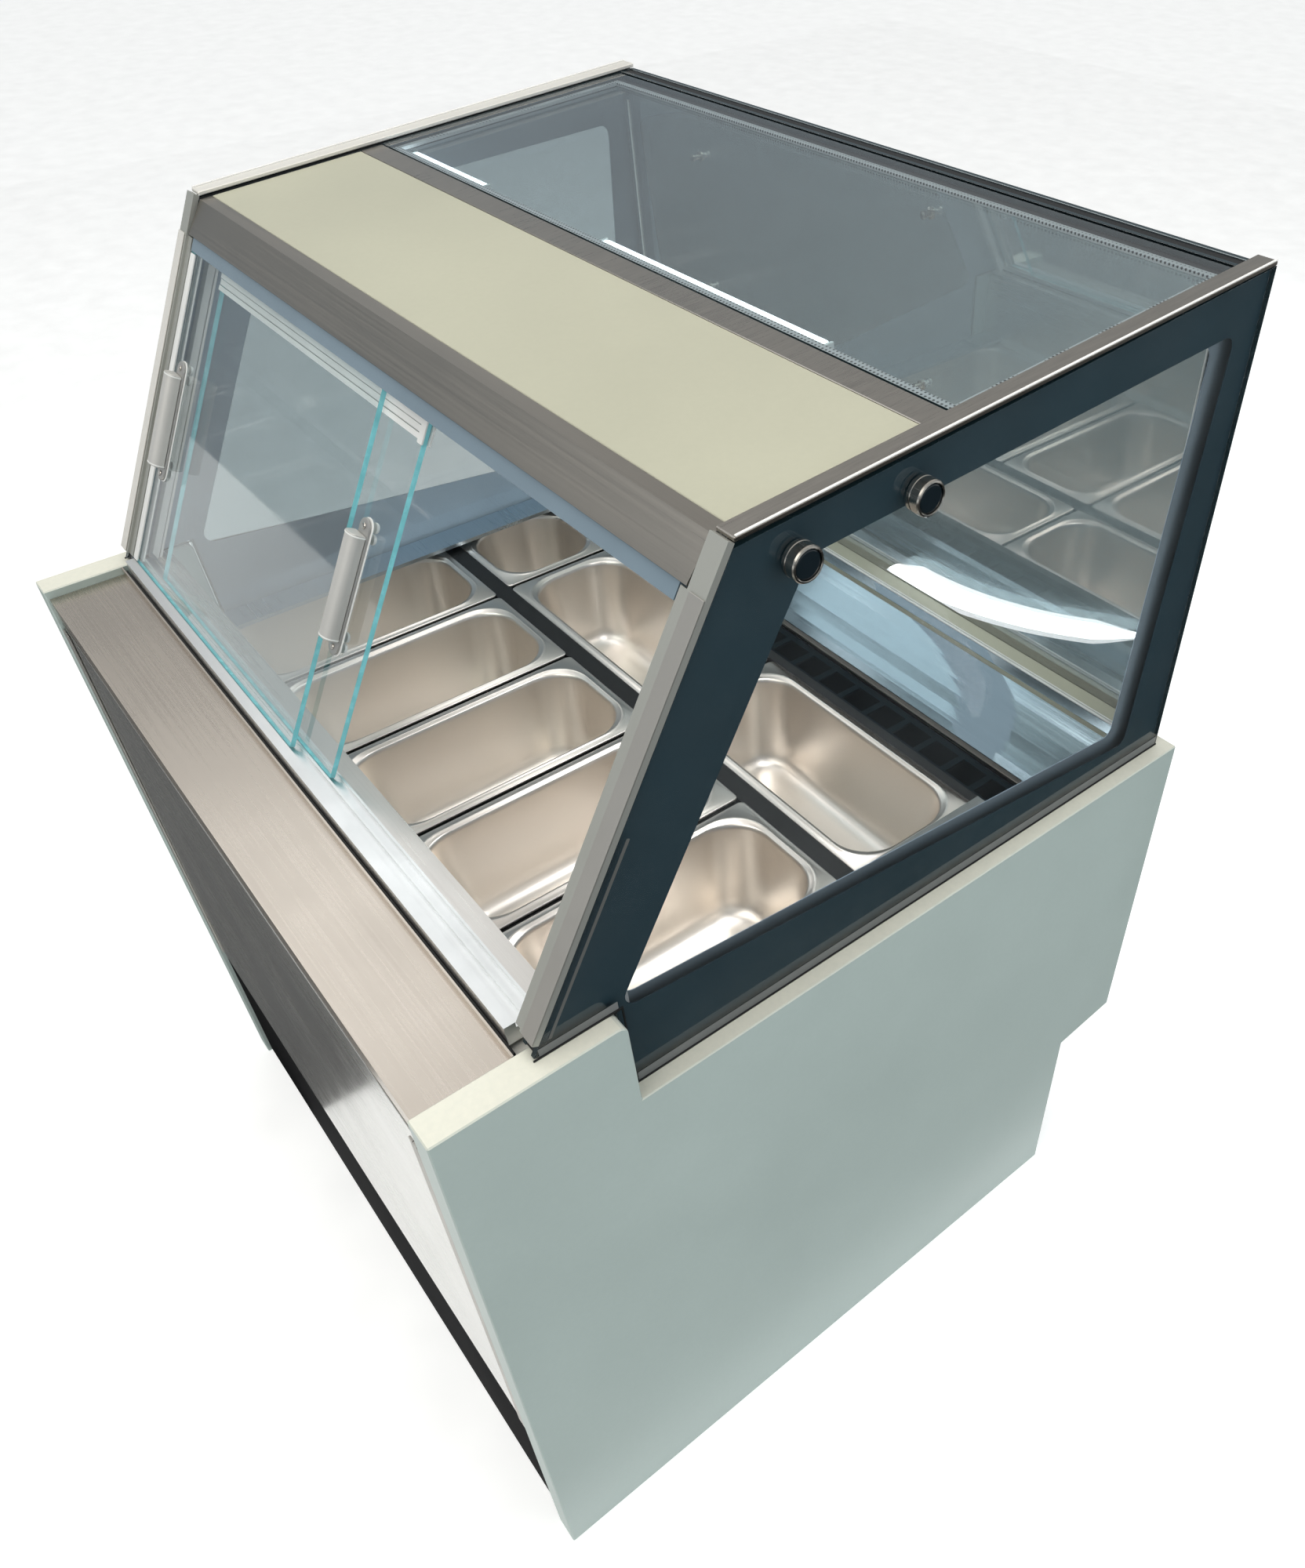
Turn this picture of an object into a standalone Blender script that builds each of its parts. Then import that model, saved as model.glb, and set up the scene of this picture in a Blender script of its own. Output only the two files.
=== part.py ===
"""Serve-over ice-cream display freezer: sloped sliding doors over a pan tank, end panels, refrigeration.

Frame: metres, +Z up, origin at the centre of the footprint on the floor.
The service side (work shelf, sliding doors) faces -Y, the customer side faces +Y, the length runs along X.
"""
import math

import bmesh
import bpy
from mathutils import Matrix, Vector

# ---------------------------------------------------------------- driving dimensions
LENGTH = 1.000
HALF = LENGTH / 2
GAP = 0.0004                    # clearance between pieces that touch
SHEET = 0.0015                  # folded sheet metal

PANEL_T = 0.033                 # end panel thickness
PANEL_TOP = 0.875               # top of the end panels beside the work shelf
DECK_TOP = 0.771                # top of the end panels beside the display
SERVICE_TOP_Y = -0.428
SERVICE_FOOT_Y = -0.464
CUSTOMER_Y = 0.464
TOE_Y = 0.372                   # back of the customer-side toe space
NOTCH_Y = -0.2555               # where the high part of the end panels stops

GLASS_T = 0.020                 # double-glazed units
GLASS_OUT = 0.482               # outer face of the end glasses
GLASS_IN = GLASS_OUT - GLASS_T
ROOF_LOW = Vector((0, -0.114, 1.2375))
ROOF_HIGH = Vector((0, 0.451, 1.279))
SLOPE_FOOT = Vector((0, -0.337, PANEL_TOP))
CUSTOMER_GLASS_Y = 0.450        # outer face of the customer glass

DOOR_T = 0.005
DOOR_W = 0.466
DOOR_LOW = (0.0165, 0.0220)     # lower ends of the outer and inner doors, measured up the slope
DOOR_HIGH = 0.3760
OUTER_DOOR_DEPTH = 0.008        # door centre planes, measured into the cabinet from the slope
INNER_DOOR_DEPTH = 0.017
OUTER_DOOR_X = -0.4555          # left edges, as the doors stand
INNER_DOOR_X = -0.3860
NOSE_FOOT = 0.3850              # lower edge of the canopy nose, up the slope
TRACK_Y = (-0.3345, -0.3034)
TRACK_Z = (0.8665, 0.8880)

PAN_TOP = 0.765
PAN_DEPTH = 0.120
PAN_W = 0.165
PAN_L = 0.320
PAN_GAP = 0.011
ROW_Y0 = -0.280                 # service end of the long row
ROW_NEAR_X = 0.4165             # right side of both rows
CROSS_L = 0.345
CROSS_W = 0.158
CROSS_Y0 = 0.067
HALF_PAN_W = 0.157
FLANGE_X = 0.4185               # inner edges of the end flanges

CAVITY = ((-0.450, -0.2860, 0.460), (0.450, 0.3000, 1.0))
TANK_X = 0.4655
TANK_FLOOR = 0.360
TANK_TOP = 0.7520

SAGE = (0.352, 0.416, 0.392, 1)
CREAM = (0.61, 0.62, 0.50, 1)
STEEL = (0.42, 0.39, 0.35, 1)
ALU = (0.56, 0.57, 0.56, 1)
TINT = (0.30, 0.42, 0.46, 0.35)
BLACK = (0.012, 0.012, 0.013, 1)
WHITE = (0.80, 0.82, 0.82, 1)


# ---------------------------------------------------------------- scene and helpers
for old in list(bpy.data.objects):
    bpy.data.objects.remove(old, do_unlink=True)

PARTS = bpy.data.collections.new("display_freezer")
CUTTERS = bpy.data.collections.new("cutters")
bpy.context.scene.collection.children.link(PARTS)
bpy.context.scene.collection.children.link(CUTTERS)


def finish_material(name, colour, metallic, roughness):
    """One Principled material for each sub-part."""
    material = bpy.data.materials.new(name + "_finish")
    material.use_nodes = True
    shader = material.node_tree.nodes["Principled BSDF"]
    shader.inputs["Base Color"].default_value = (*colour[:3], 1)
    shader.inputs["Metallic"].default_value = metallic
    shader.inputs["Roughness"].default_value = roughness
    shader.inputs["Alpha"].default_value = colour[3]
    return material


def add(name, mesh, look, parent=None, smooth=False):
    """Puts a mesh into the model as the node called name; look is (colour, metallic, roughness)."""
    piece = bpy.data.objects.new(name, mesh)
    PARTS.objects.link(piece)
    if not mesh.materials:
        mesh.materials.append(finish_material(name, *look))
    if smooth:
        mesh.shade_smooth()
        mesh.set_sharp_from_angle(angle=math.radians(35))
    piece.parent = parent
    return piece


def empty(name, location, rotation_x):
    """A frame that sloped pieces are placed in."""
    frame = bpy.data.objects.new(name, None)
    frame.location = location
    frame.rotation_euler = (rotation_x, 0, 0)
    PARTS.objects.link(frame)
    return frame


def mesh_from(build):
    """A mesh filled by build(bm)."""
    bm = bmesh.new()
    build(bm)
    mesh = bpy.data.meshes.new("mesh")
    bm.to_mesh(mesh)
    bm.free()
    return mesh


def box_mesh(*boxes):
    """Separate boxes, each (low corner, high corner), as one mesh."""
    def build(bm):
        for low, high in boxes:
            low, high = Vector(low), Vector(high)
            size = Matrix.Diagonal((*(high - low), 1))
            bmesh.ops.create_cube(bm, size=1, matrix=Matrix.Translation((low + high) / 2) @ size)
    return mesh_from(build)


def round_mesh(radius, low, high, centre=(0, 0), axis="Z", sides=24):
    """A cylinder along an axis from low to high; centre holds the other two coordinates in order."""
    turn = {"Z": Matrix(), "X": Matrix.Rotation(math.pi / 2, 4, "Y"),
            "Y": Matrix.Rotation(-math.pi / 2, 4, "X")}[axis]
    middle = (low + high) / 2
    place = {"Z": (*centre, middle), "X": (middle, *centre), "Y": (centre[0], middle, centre[1])}[axis]

    def build(bm):
        bmesh.ops.create_cone(bm, cap_ends=True, segments=sides, radius1=radius, radius2=radius,
                              depth=high - low, matrix=Matrix.Translation(place) @ turn)
    return mesh_from(build)


def arc_corner(before, corner, after, radius, steps):
    """The points of a round corner of a flat outline."""
    to_before = (before - corner).normalized()
    to_after = (after - corner).normalized()
    half = to_before.angle(to_after) / 2
    reach = radius / math.tan(half)
    centre = corner + (to_before + to_after).normalized() * (radius / math.sin(half))
    start = corner + to_before * reach - centre
    sweep = start.angle_signed(corner + to_after * reach - centre)
    points = []
    for step in range(steps + 1):
        turned = start.copy()
        turned.rotate(Matrix.Rotation(-sweep * step / steps, 2))
        points.append(centre + turned)
    return points


def rounded(outline, steps=4):
    """An outline whose entries are (u, v) for a sharp corner or (u, v, radius) for a round one."""
    corners = [Vector(entry[:2]) for entry in outline]
    points = []
    for index, entry in enumerate(outline):
        if len(entry) == 2:
            points.append(corners[index])
            continue
        before, after = corners[index - 1], corners[(index + 1) % len(corners)]
        points += arc_corner(before, corners[index], after, entry[2], steps)
    return points


def slab_mesh(outline, low, high, axis="X", holes=(), steps=4):
    """A flat outline, extruded along an axis. Along X the outline is (y, z), along Z it is (x, y),
    along Y it is (z, x)."""
    curve = bpy.data.curves.new("outline", "CURVE")
    curve.dimensions = "2D"
    curve.fill_mode = "BOTH"
    curve.extrude = (high - low) / 2
    for loop in (outline, *holes):
        points = rounded(loop, steps)
        spline = curve.splines.new("POLY")
        spline.points.add(len(points) - 1)
        for point, place in zip(spline.points, points):
            point.co = (*place, 0, 1)
        spline.use_cyclic_u = True
    shape = bpy.data.objects.new("outline", curve)
    bpy.context.scene.collection.objects.link(shape)
    bpy.context.view_layer.update()
    flat = bpy.data.meshes.new_from_object(shape.evaluated_get(bpy.context.evaluated_depsgraph_get()))
    bpy.data.objects.remove(shape, do_unlink=True)
    cycle = {"X": Matrix(((0, 0, 1, 0), (1, 0, 0, 0), (0, 1, 0, 0), (0, 0, 0, 1))),
             "Y": Matrix(((0, 1, 0, 0), (0, 0, 1, 0), (1, 0, 0, 0), (0, 0, 0, 1))),
             "Z": Matrix()}[axis]
    shift = Vector((0, 0, 0))
    shift["XYZ".index(axis)] = (low + high) / 2

    def build(bm):
        bm.from_mesh(flat)
        bmesh.ops.remove_doubles(bm, verts=bm.verts, dist=0.00001)
        bmesh.ops.dissolve_limit(bm, angle_limit=0.01, verts=bm.verts, edges=bm.edges)
        bmesh.ops.transform(bm, matrix=Matrix.Translation(shift) @ cycle, verts=bm.verts)
        bmesh.ops.recalc_face_normals(bm, faces=bm.faces)
    return mesh_from(build)


def folded(path, thickness=SHEET):
    """The closed outline of a sheet whose outer face follows path; the sheet lies to the left of it."""
    points = [Vector(point) for point in path]
    offsets = []
    for index, point in enumerate(points):
        sides = []
        if index > 0:
            sides.append((point - points[index - 1]).normalized())
        if index < len(points) - 1:
            sides.append((points[index + 1] - point).normalized())
        normals = [Vector((-side.y, side.x)) for side in sides]
        middle = sum(normals, Vector((0, 0))).normalized()
        offsets.append(point + middle * (thickness / middle.dot(normals[0])))
    return [tuple(point) for point in points] + [tuple(point) for point in reversed(offsets)]


def combine(piece, mesh, operation):
    """Cuts, or joins, a mesh placed in the piece's own frame."""
    tool = bpy.data.objects.new(piece.name + "_tool", mesh)
    tool.hide_render = True
    tool.display_type = "WIRE"
    tool.parent = piece.parent
    CUTTERS.objects.link(tool)
    modifier = piece.modifiers.new(operation.lower(), "BOOLEAN")
    modifier.operation = operation
    modifier.solver = "EXACT"
    modifier.object = tool
    return piece


def join_meshes(meshes):
    """The Boolean union of overlapping meshes."""
    shapes = []
    for mesh in meshes:
        shape = bpy.data.objects.new("shape", mesh)
        CUTTERS.objects.link(shape)
        shapes.append(shape)
    for shape in shapes[1:]:
        modifier = shapes[0].modifiers.new("join", "BOOLEAN")
        modifier.operation = "UNION"
        modifier.solver = "EXACT"
        modifier.object = shape
    bpy.context.view_layer.update()
    depsgraph = bpy.context.evaluated_depsgraph_get()
    joined = bpy.data.meshes.new_from_object(shapes[0].evaluated_get(depsgraph))
    for shape in shapes:
        bpy.data.objects.remove(shape, do_unlink=True)
    return joined


def soften(piece, width, segments=1, angle=50):
    """Breaks the sharp edges."""
    bevel = piece.modifiers.new("edges", "BEVEL")
    bevel.width = width
    bevel.segments = segments
    bevel.limit_method = "ANGLE"
    bevel.angle_limit = math.radians(angle)
    return piece


def mirrored(points):
    """An (x, y) outline turned round so that it stays the same way out after x becomes -x."""
    return [(-entry[0], *entry[1:]) for entry in reversed(points)]


SAGE_LOOK = (SAGE, 0.0, 0.45)
STEEL_LOOK = (STEEL, 1.0, 0.32)
ALU_LOOK = (ALU, 1.0, 0.35)
GLASS_LOOK = (TINT, 0.0, 0.05)
BLACK_LOOK = (BLACK, 0.0, 0.5)
WHITE_LOOK = (WHITE, 0.0, 0.4)
CREAM_LOOK = (CREAM, 0.0, 0.4)

SLOPE_ANGLE = math.atan2(ROOF_LOW.y - SLOPE_FOOT.y, ROOF_LOW.z - SLOPE_FOOT.z)
SLOPE_LENGTH = (ROOF_LOW - SLOPE_FOOT).length
ROOF_ANGLE = math.atan2(ROOF_HIGH.z - ROOF_LOW.z, ROOF_HIGH.y - ROOF_LOW.y)
ROOF_LENGTH = (ROOF_HIGH - ROOF_LOW).length
slope = empty("slope_frame", SLOPE_FOOT, -SLOPE_ANGLE)    # x, y into the cabinet, z up the slope
roof = empty("roof_frame", ROOF_LOW, ROOF_ANGLE)          # x, y towards the customer, z out of the roof


def on_slope(depth, up):
    """The (y, z) of a point given in the slope's frame."""
    y = SLOPE_FOOT.y + math.cos(SLOPE_ANGLE) * depth + math.sin(SLOPE_ANGLE) * up
    z = SLOPE_FOOT.z - math.sin(SLOPE_ANGLE) * depth + math.cos(SLOPE_ANGLE) * up
    return y, z


def on_roof(back, up):
    """The (y, z) of a point given in the roof's frame."""
    y = ROOF_LOW.y + math.cos(ROOF_ANGLE) * back - math.sin(ROOF_ANGLE) * up
    z = ROOF_LOW.z + math.sin(ROOF_ANGLE) * back + math.cos(ROOF_ANGLE) * up
    return y, z


def service_face(z):
    """The y of the end panels' service edge at a height."""
    return SERVICE_FOOT_Y + (SERVICE_TOP_Y - SERVICE_FOOT_Y) * z / PANEL_TOP


# ---------------------------------------------------------------- cabinet
def end_panels():
    """Two flat panels in the cabinet's side profile: shelf height, notch, display height, toe space."""
    outline = [(SERVICE_FOOT_Y, 0), (TOE_Y, 0), (TOE_Y, 0.2925), (CUSTOMER_Y, 0.306),
               (CUSTOMER_Y, DECK_TOP), (NOTCH_Y, DECK_TOP), (NOTCH_Y, PANEL_TOP, 0.009),
               (SERVICE_TOP_Y, PANEL_TOP)]
    for name, low in (("end_panel_left", -HALF), ("end_panel_right", HALF - PANEL_T)):
        mesh = slab_mesh(outline, low, low + PANEL_T)
        soften(add(name, mesh, SAGE_LOOK), 0.0012, angle=40)


def base():
    """Welded floor frame: rails, corner posts and machine tray, standing on its levelling feet."""
    x, y0, y1, rail = 0.4640, -0.4270, 0.3600, 0.030
    outline = [(-x, y0), (x, y0), (x, y1), (-x, y1)]
    inner = [(-x + rail, y0 + rail), (-x + rail, y1 - rail), (x - rail, y1 - rail), (x - rail, y0 + rail)]
    pieces = [slab_mesh(outline, 0.050, 0.080, "Z", holes=[inner]),
              box_mesh(((-x + 0.020, y0 + 0.020, 0.0520), (x - 0.020, y1 - 0.020, 0.0545)))]
    profile = [(0.0, 0.056), (0.007, 0.056), (0.007, 0.012), (0.018, 0.008), (0.018, 0.0), (0.0, 0.0)]
    for corner_x in (rail / 2 - x, x - rail / 2):
        for corner_y in (y0 + rail / 2, y1 - rail / 2):
            pieces.append(box_mesh(((corner_x - 0.013, corner_y - 0.013, 0.070),
                                    (corner_x + 0.013, corner_y + 0.013, TANK_FLOOR - GAP))))
            foot = turned_mesh(profile, 16)
            foot.transform(Matrix.Translation((corner_x, corner_y, 0)))
            pieces.append(foot)
    add("base_frame", join_meshes(pieces), (BLACK, 0.6, 0.5))


def turned_mesh(profile, sides):
    """A solid of revolution about Z; the profile runs down its outer side from the axis to the axis."""
    def build(bm):
        rings = []
        for radius, height in profile:
            if radius == 0:
                rings.append([bm.verts.new((0, 0, height))])
                continue
            turns = [2 * math.pi * side / sides for side in range(sides)]
            rings.append([bm.verts.new((radius * math.cos(t), radius * math.sin(t), height))
                          for t in turns])
        for upper, lower in zip(rings, rings[1:]):
            for side in range(sides):
                after = (side + 1) % sides
                corners = [upper[side % len(upper)], lower[side % len(lower)],
                           lower[after % len(lower)], upper[after % len(upper)]]
                bm.faces.new(list(dict.fromkeys(corners)))
        bmesh.ops.recalc_face_normals(bm, faces=bm.faces)
    return mesh_from(build)


def outer_sheets():
    """Work shelf, front panel and plinth on the service side; panels on the customer side."""
    x = HALF - PANEL_T - GAP
    shelf = folded([(-0.3400, 0.8740), (-0.3400, 0.8650), (-0.4250, 0.8650), (-0.4250, 0.8370)], 0.0018)
    add("work_shelf", slab_mesh(shelf, -x, x), STEEL_LOOK)
    inset = 0.004
    top, foot = 0.8320, 0.2620
    front = folded([(service_face(top) + 0.022, top), (service_face(top) + inset, top),
                    (service_face(foot) + inset, foot), (service_face(foot) + 0.022, foot)])
    add("front_panel", slab_mesh(front, -x, x), STEEL_LOOK)
    top, foot = 0.2590, 0.004
    plinth = folded([(service_face(top) + 0.022, top), (service_face(top) + 0.006, top),
                     (service_face(foot) + 0.006, foot)], 0.003)
    add("front_plinth", slab_mesh(plinth, -x, x), BLACK_LOOK)
    face = CUSTOMER_Y - 0.004
    display = folded([(0.3740, 0.2990), (face, 0.3100), (face, 0.7700), (face - 0.0070, 0.7700)])
    add("customer_panel", slab_mesh(display, -x, x), SAGE_LOOK)
    sheet = box_mesh(((-x, TOE_Y - 0.0070, 0.006), (x, TOE_Y - 0.0045, 0.288)))
    kick = add("customer_kick_grille", sheet, BLACK_LOOK)
    slots = [((-0.32, TOE_Y - 0.03, 0.070 + 0.022 * row), (0.32, TOE_Y + 0.02, 0.082 + 0.022 * row))
             for row in range(8)]
    combine(kick, box_mesh(*slots), "DIFFERENCE")
    inlet = box_mesh(((-0.400, TOE_Y - 0.0040, 0.120), (-0.352, TOE_Y - 0.0005, 0.150)))
    add("mains_inlet", inlet, BLACK_LOOK)


def tank():
    """The foamed tub with its raised service wall, and the stainless liner inside it."""
    low, high = CAVITY
    outline = [(-0.4000, TANK_FLOOR), (0.4560, TANK_FLOOR), (0.4560, TANK_TOP),
               (-0.2860, TANK_TOP), (-0.2860, 0.8600), (-0.4000, 0.8600)]
    tub = add("insulated_tub", slab_mesh(outline, -TANK_X, TANK_X), WHITE_LOOK)
    combine(tub, box_mesh((low, high)), "DIFFERENCE")
    lining = open_box_mesh((low[0] + GAP, low[1] + 2 * GAP, low[2] + GAP),
                           (high[0] - GAP, high[1] - GAP, TANK_TOP - GAP), 0.0012)
    liner = add("tub_liner", lining, STEEL_LOOK)
    drain = round_mesh(0.010, TANK_FLOOR - 0.05, 0.55, (0.30, -0.10), "Z", 12)
    combine(liner, drain, "DIFFERENCE")
    combine(tub, drain.copy(), "DIFFERENCE")


def open_box_mesh(low, high, wall):
    """A box with walls and a floor and no top."""
    def build(bm):
        size = Vector(high) - Vector(low)
        place = Matrix.Translation((Vector(low) + Vector(high)) / 2) @ Matrix.Diagonal((*size, 1))
        bmesh.ops.create_cube(bm, size=1, matrix=place)
        top = [face for face in bm.faces if face.normal.z > 0.5]
        bmesh.ops.inset_region(bm, faces=top, thickness=wall, use_even_offset=True)
        sunk = bmesh.ops.extrude_face_region(bm, geom=top)
        bmesh.ops.delete(bm, geom=top, context="FACES")
        verts = [item for item in sunk["geom"] if isinstance(item, bmesh.types.BMVert)]
        bmesh.ops.translate(bm, verts=verts, vec=(0, 0, wall - size.z))
        bmesh.ops.recalc_face_normals(bm, faces=bm.faces)
    return mesh_from(build)


# ---------------------------------------------------------------- deck round the pans
def deck():
    """Flanges, pan supports, air return, deflector and the ledge behind the customer glass."""
    x = GLASS_IN - GAP
    flange = folded([(TRACK_Y[1] + GAP, 0.8800), (-0.2836, 0.8800), (-0.2836, 0.7800)][::-1])
    add("service_flange", slab_mesh(flange, -x + 0.001, x - 0.001), STEEL_LOOK)
    for name, side in (("end_flange_left", -1), ("end_flange_right", 1)):
        strip = [(FLANGE_X, 0.7720), (FLANGE_X, 0.7770), (0.4610, 0.7770)]
        outline = folded(strip[::-1])
        if side < 0:
            outline = mirrored(outline)
        add(name, slab_mesh([(z, px) for px, z in outline], -0.2826, 0.2300, "Y"), STEEL_LOOK)
    pan_frame()
    slots = [((-0.440 + 0.044 * n, 0.2480, 0.70), (-0.404 + 0.044 * n, 0.2780, 0.80))
             for n in range(20)]
    sheet = box_mesh(((-0.4485, 0.2390, 0.7560), (0.4485, 0.2870, 0.7590)))
    grille = add("air_return_grille", sheet, BLACK_LOOK)
    combine(grille, box_mesh(*slots), "DIFFERENCE")
    curve = [(0.2880, 0.7730), (0.3010, 0.7730), (0.3014, 0.7640)]
    bend = [(0.3014 + 0.0846 * step / 6, 0.7640 + 0.0330 * (step / 6) ** 2) for step in range(1, 7)]
    add("air_deflector", slab_mesh(folded((curve + bend)[::-1], 0.0012), -x, x), STEEL_LOOK)
    add("customer_ledge", slab_mesh(folded([(0.4295, 0.8020), (0.3870, 0.8020), (0.3870, 0.7700)], 0.002),
                                    -x, x), CREAM_LOOK)
    add("glass_rail", box_mesh(((-x, 0.3920, TANK_TOP + GAP), (x, 0.4520, 0.7700))), ALU_LOOK)


def pan_frame():
    """The frame that the pans' rims hang on: three cross rails, side members and dividers."""
    x, low, seat, top = 0.4480, 0.7540, 0.7600, 0.7640
    service = [(-0.2840, low), (-0.2712, low), (-0.2712, seat), (-0.2840, seat)]
    middle = [(0.0308, low), (0.0762, low), (0.0762, seat), (0.0665, seat), (0.0665, top),
              (0.0405, top), (0.0405, seat), (0.0308, seat)]
    customer = [(0.2158, low), (0.2376, low), (0.2376, 0.7680), (0.2256, 0.7680),
                (0.2256, seat), (0.2158, seat)]
    pieces = [slab_mesh(outline, -x, x) for outline in (service, middle, customer)]
    gaps = [ROW_NEAR_X - (PAN_W + PAN_GAP) * count + PAN_GAP / 2 for count in range(1, 5)]
    bars = [(gap - 0.009, gap + 0.009, 0.0320) for gap in gaps] + [(ROW_NEAR_X + 0.0020, x, 0.2200)]
    pieces += [box_mesh(((left, -0.2730, low), (right, end, seat))) for left, right, end in bars]
    add("pan_frame", join_meshes(pieces), BLACK_LOOK)


# ---------------------------------------------------------------- pans
def round_rectangle(width, length, radius, steps):
    """A rectangle with round corners about the origin, always with the same number of points."""
    points = []
    for corner in range(4):
        sx, sy = ((1, 1), (-1, 1), (-1, -1), (1, -1))[corner]
        centre = Vector((sx * (width / 2 - radius), sy * (length / 2 - radius)))
        for step in range(steps + 1):
            turn = math.pi / 2 * (corner + step / steps)
            points.append(centre + radius * Vector((math.cos(turn), math.sin(turn))))
    return points


def pan_mesh(width, length, steps=3, wall=0.001):
    """A deep-drawn pan: turned-down rim, straight sides and a rounded bottom. Its rim top is at z 0."""
    def build(bm):
        rim = 0.0105
        outer = [(width, length, 0.004, -0.0045), (width, length, 0.004, 0.0),
                 (width - 2 * rim, length - 2 * rim, 0.042, 0.0),
                 (width - 2 * rim - 0.003, length - 2 * rim - 0.003, 0.0405, -0.006),
                 (width - 0.034, length - 0.034, 0.038, 0.016 - PAN_DEPTH),
                 (width - 0.060, length - 0.060, 0.028, 0.0 - PAN_DEPTH)]
        inner = [(w - 2 * wall, l - 2 * wall, r, z) for w, l, r, z in outer[:1]]
        inner.append((width - 2 * wall, length - 2 * wall, 0.0035, -wall))
        inner.append((width - 2 * rim + 2 * wall, length - 2 * rim + 2 * wall, 0.043, -wall))
        inner += [(w + 2 * wall, l + 2 * wall, r + wall, z - wall) for w, l, r, z in outer[3:]]
        top = [ring(bm, *size, steps) for size in outer]
        under = [ring(bm, *size, steps) for size in inner]
        for rings, turn in ((top, 1), (under, -1)):
            for first, second in zip(rings, rings[1:]):
                bridge(bm, first, second, turn)
        bridge(bm, under[0], top[0], 1)
        bm.faces.new(top[-1])
        bm.faces.new(under[-1][::-1])
        bmesh.ops.recalc_face_normals(bm, faces=bm.faces)
    return mesh_from(build)


def ring(bm, width, length, radius, z, steps):
    return [bm.verts.new((*point, z)) for point in round_rectangle(width, length, radius, steps)]


def bridge(bm, first, second, turn):
    for index in range(len(first)):
        after = (index + 1) % len(first)
        corners = [first[index], second[index], second[after], first[after]]
        bm.faces.new(corners[::turn])


def pans():
    """Five long pans side by side, and a row of two and a half across their customer ends."""
    long_mesh, cross_mesh = pan_mesh(PAN_W, PAN_L), pan_mesh(CROSS_L, CROSS_W)
    for count in range(5):
        near = ROW_NEAR_X - (PAN_W + PAN_GAP) * count
        pan = add(f"long_pan_{count + 1}", long_mesh, (STEEL, 1.0, 0.28), smooth=True)
        pan.location = (near - PAN_W / 2, ROW_Y0 + PAN_L / 2, PAN_TOP)
    for count in range(2):
        near = ROW_NEAR_X - (CROSS_L + PAN_GAP) * count
        pan = add(f"cross_pan_{count + 1}", cross_mesh, (STEEL, 1.0, 0.28), smooth=True)
        pan.location = (near - CROSS_L / 2, CROSS_Y0 + CROSS_W / 2, PAN_TOP)
    near = ROW_NEAR_X - 2 * (CROSS_L + PAN_GAP)
    pan = add("half_pan", pan_mesh(HALF_PAN_W, CROSS_W), (STEEL, 1.0, 0.28), smooth=True)
    pan.location = (near - HALF_PAN_W / 2, CROSS_Y0 + CROSS_W / 2, PAN_TOP)


# ---------------------------------------------------------------- glass house
def glass_house():
    """End glasses, customer glass and roof glass, with the profiles along the end glasses' edges."""
    edge = 0.006
    foot = on_slope(edge, 0.0062)
    head = on_slope(edge, SLOPE_LENGTH - 0.0045)
    outline = [foot, (NOTCH_Y + 0.0015, foot[1]), (NOTCH_Y + 0.0015, DECK_TOP + GAP),
               (CUSTOMER_GLASS_Y, DECK_TOP + GAP), on_roof(ROOF_LENGTH, -0.0045), head]
    section = [(0, 0), (0.020, 0), (0.020, edge - GAP), (0, edge - GAP), (0, 0.0046), (-0.010, 0.0046),
               (-0.010, 0.0026), (0, 0.0026)]
    for name, side in (("left", -1), ("right", 1)):
        low, high = sorted((side * GLASS_IN, side * GLASS_OUT))
        add("end_glass_" + name, slab_mesh(outline, low, high), GLASS_LOOK)
        bar = [(GLASS_IN + px, depth) for px, depth in section]
        if side < 0:
            bar = mirrored(bar)
        strip = add("edge_profile_" + name, slab_mesh(bar, 0.019, SLOPE_LENGTH - 0.001, "Z"), ALU_LOOK)
        strip.parent = slope
        past_nose = box_mesh(((-GLASS_IN, -0.01, NOSE_FOOT - 0.002), (GLASS_IN, 0.02, 0.5)))
        combine(strip, past_nose, "DIFFERENCE")
        trim = box_mesh(((low, 0.004, -0.004), (high, ROOF_LENGTH, 0.0)))
        soften(add("top_trim_" + name, trim, STEEL_LOOK, roof), 0.0008)
    inner = CUSTOMER_GLASS_Y - GLASS_T
    x = GLASS_IN - GAP
    top = on_roof(ROOF_LENGTH - 0.010, -0.004)[1]
    add("customer_glass", box_mesh(((-x, inner, 0.7706), (x, CUSTOMER_GLASS_Y, top))), GLASS_LOOK)
    add("roof_glass", box_mesh(((-x, 0.2175, -0.0190), (x, 0.5425, -0.0050))), GLASS_LOOK, roof)


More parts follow.
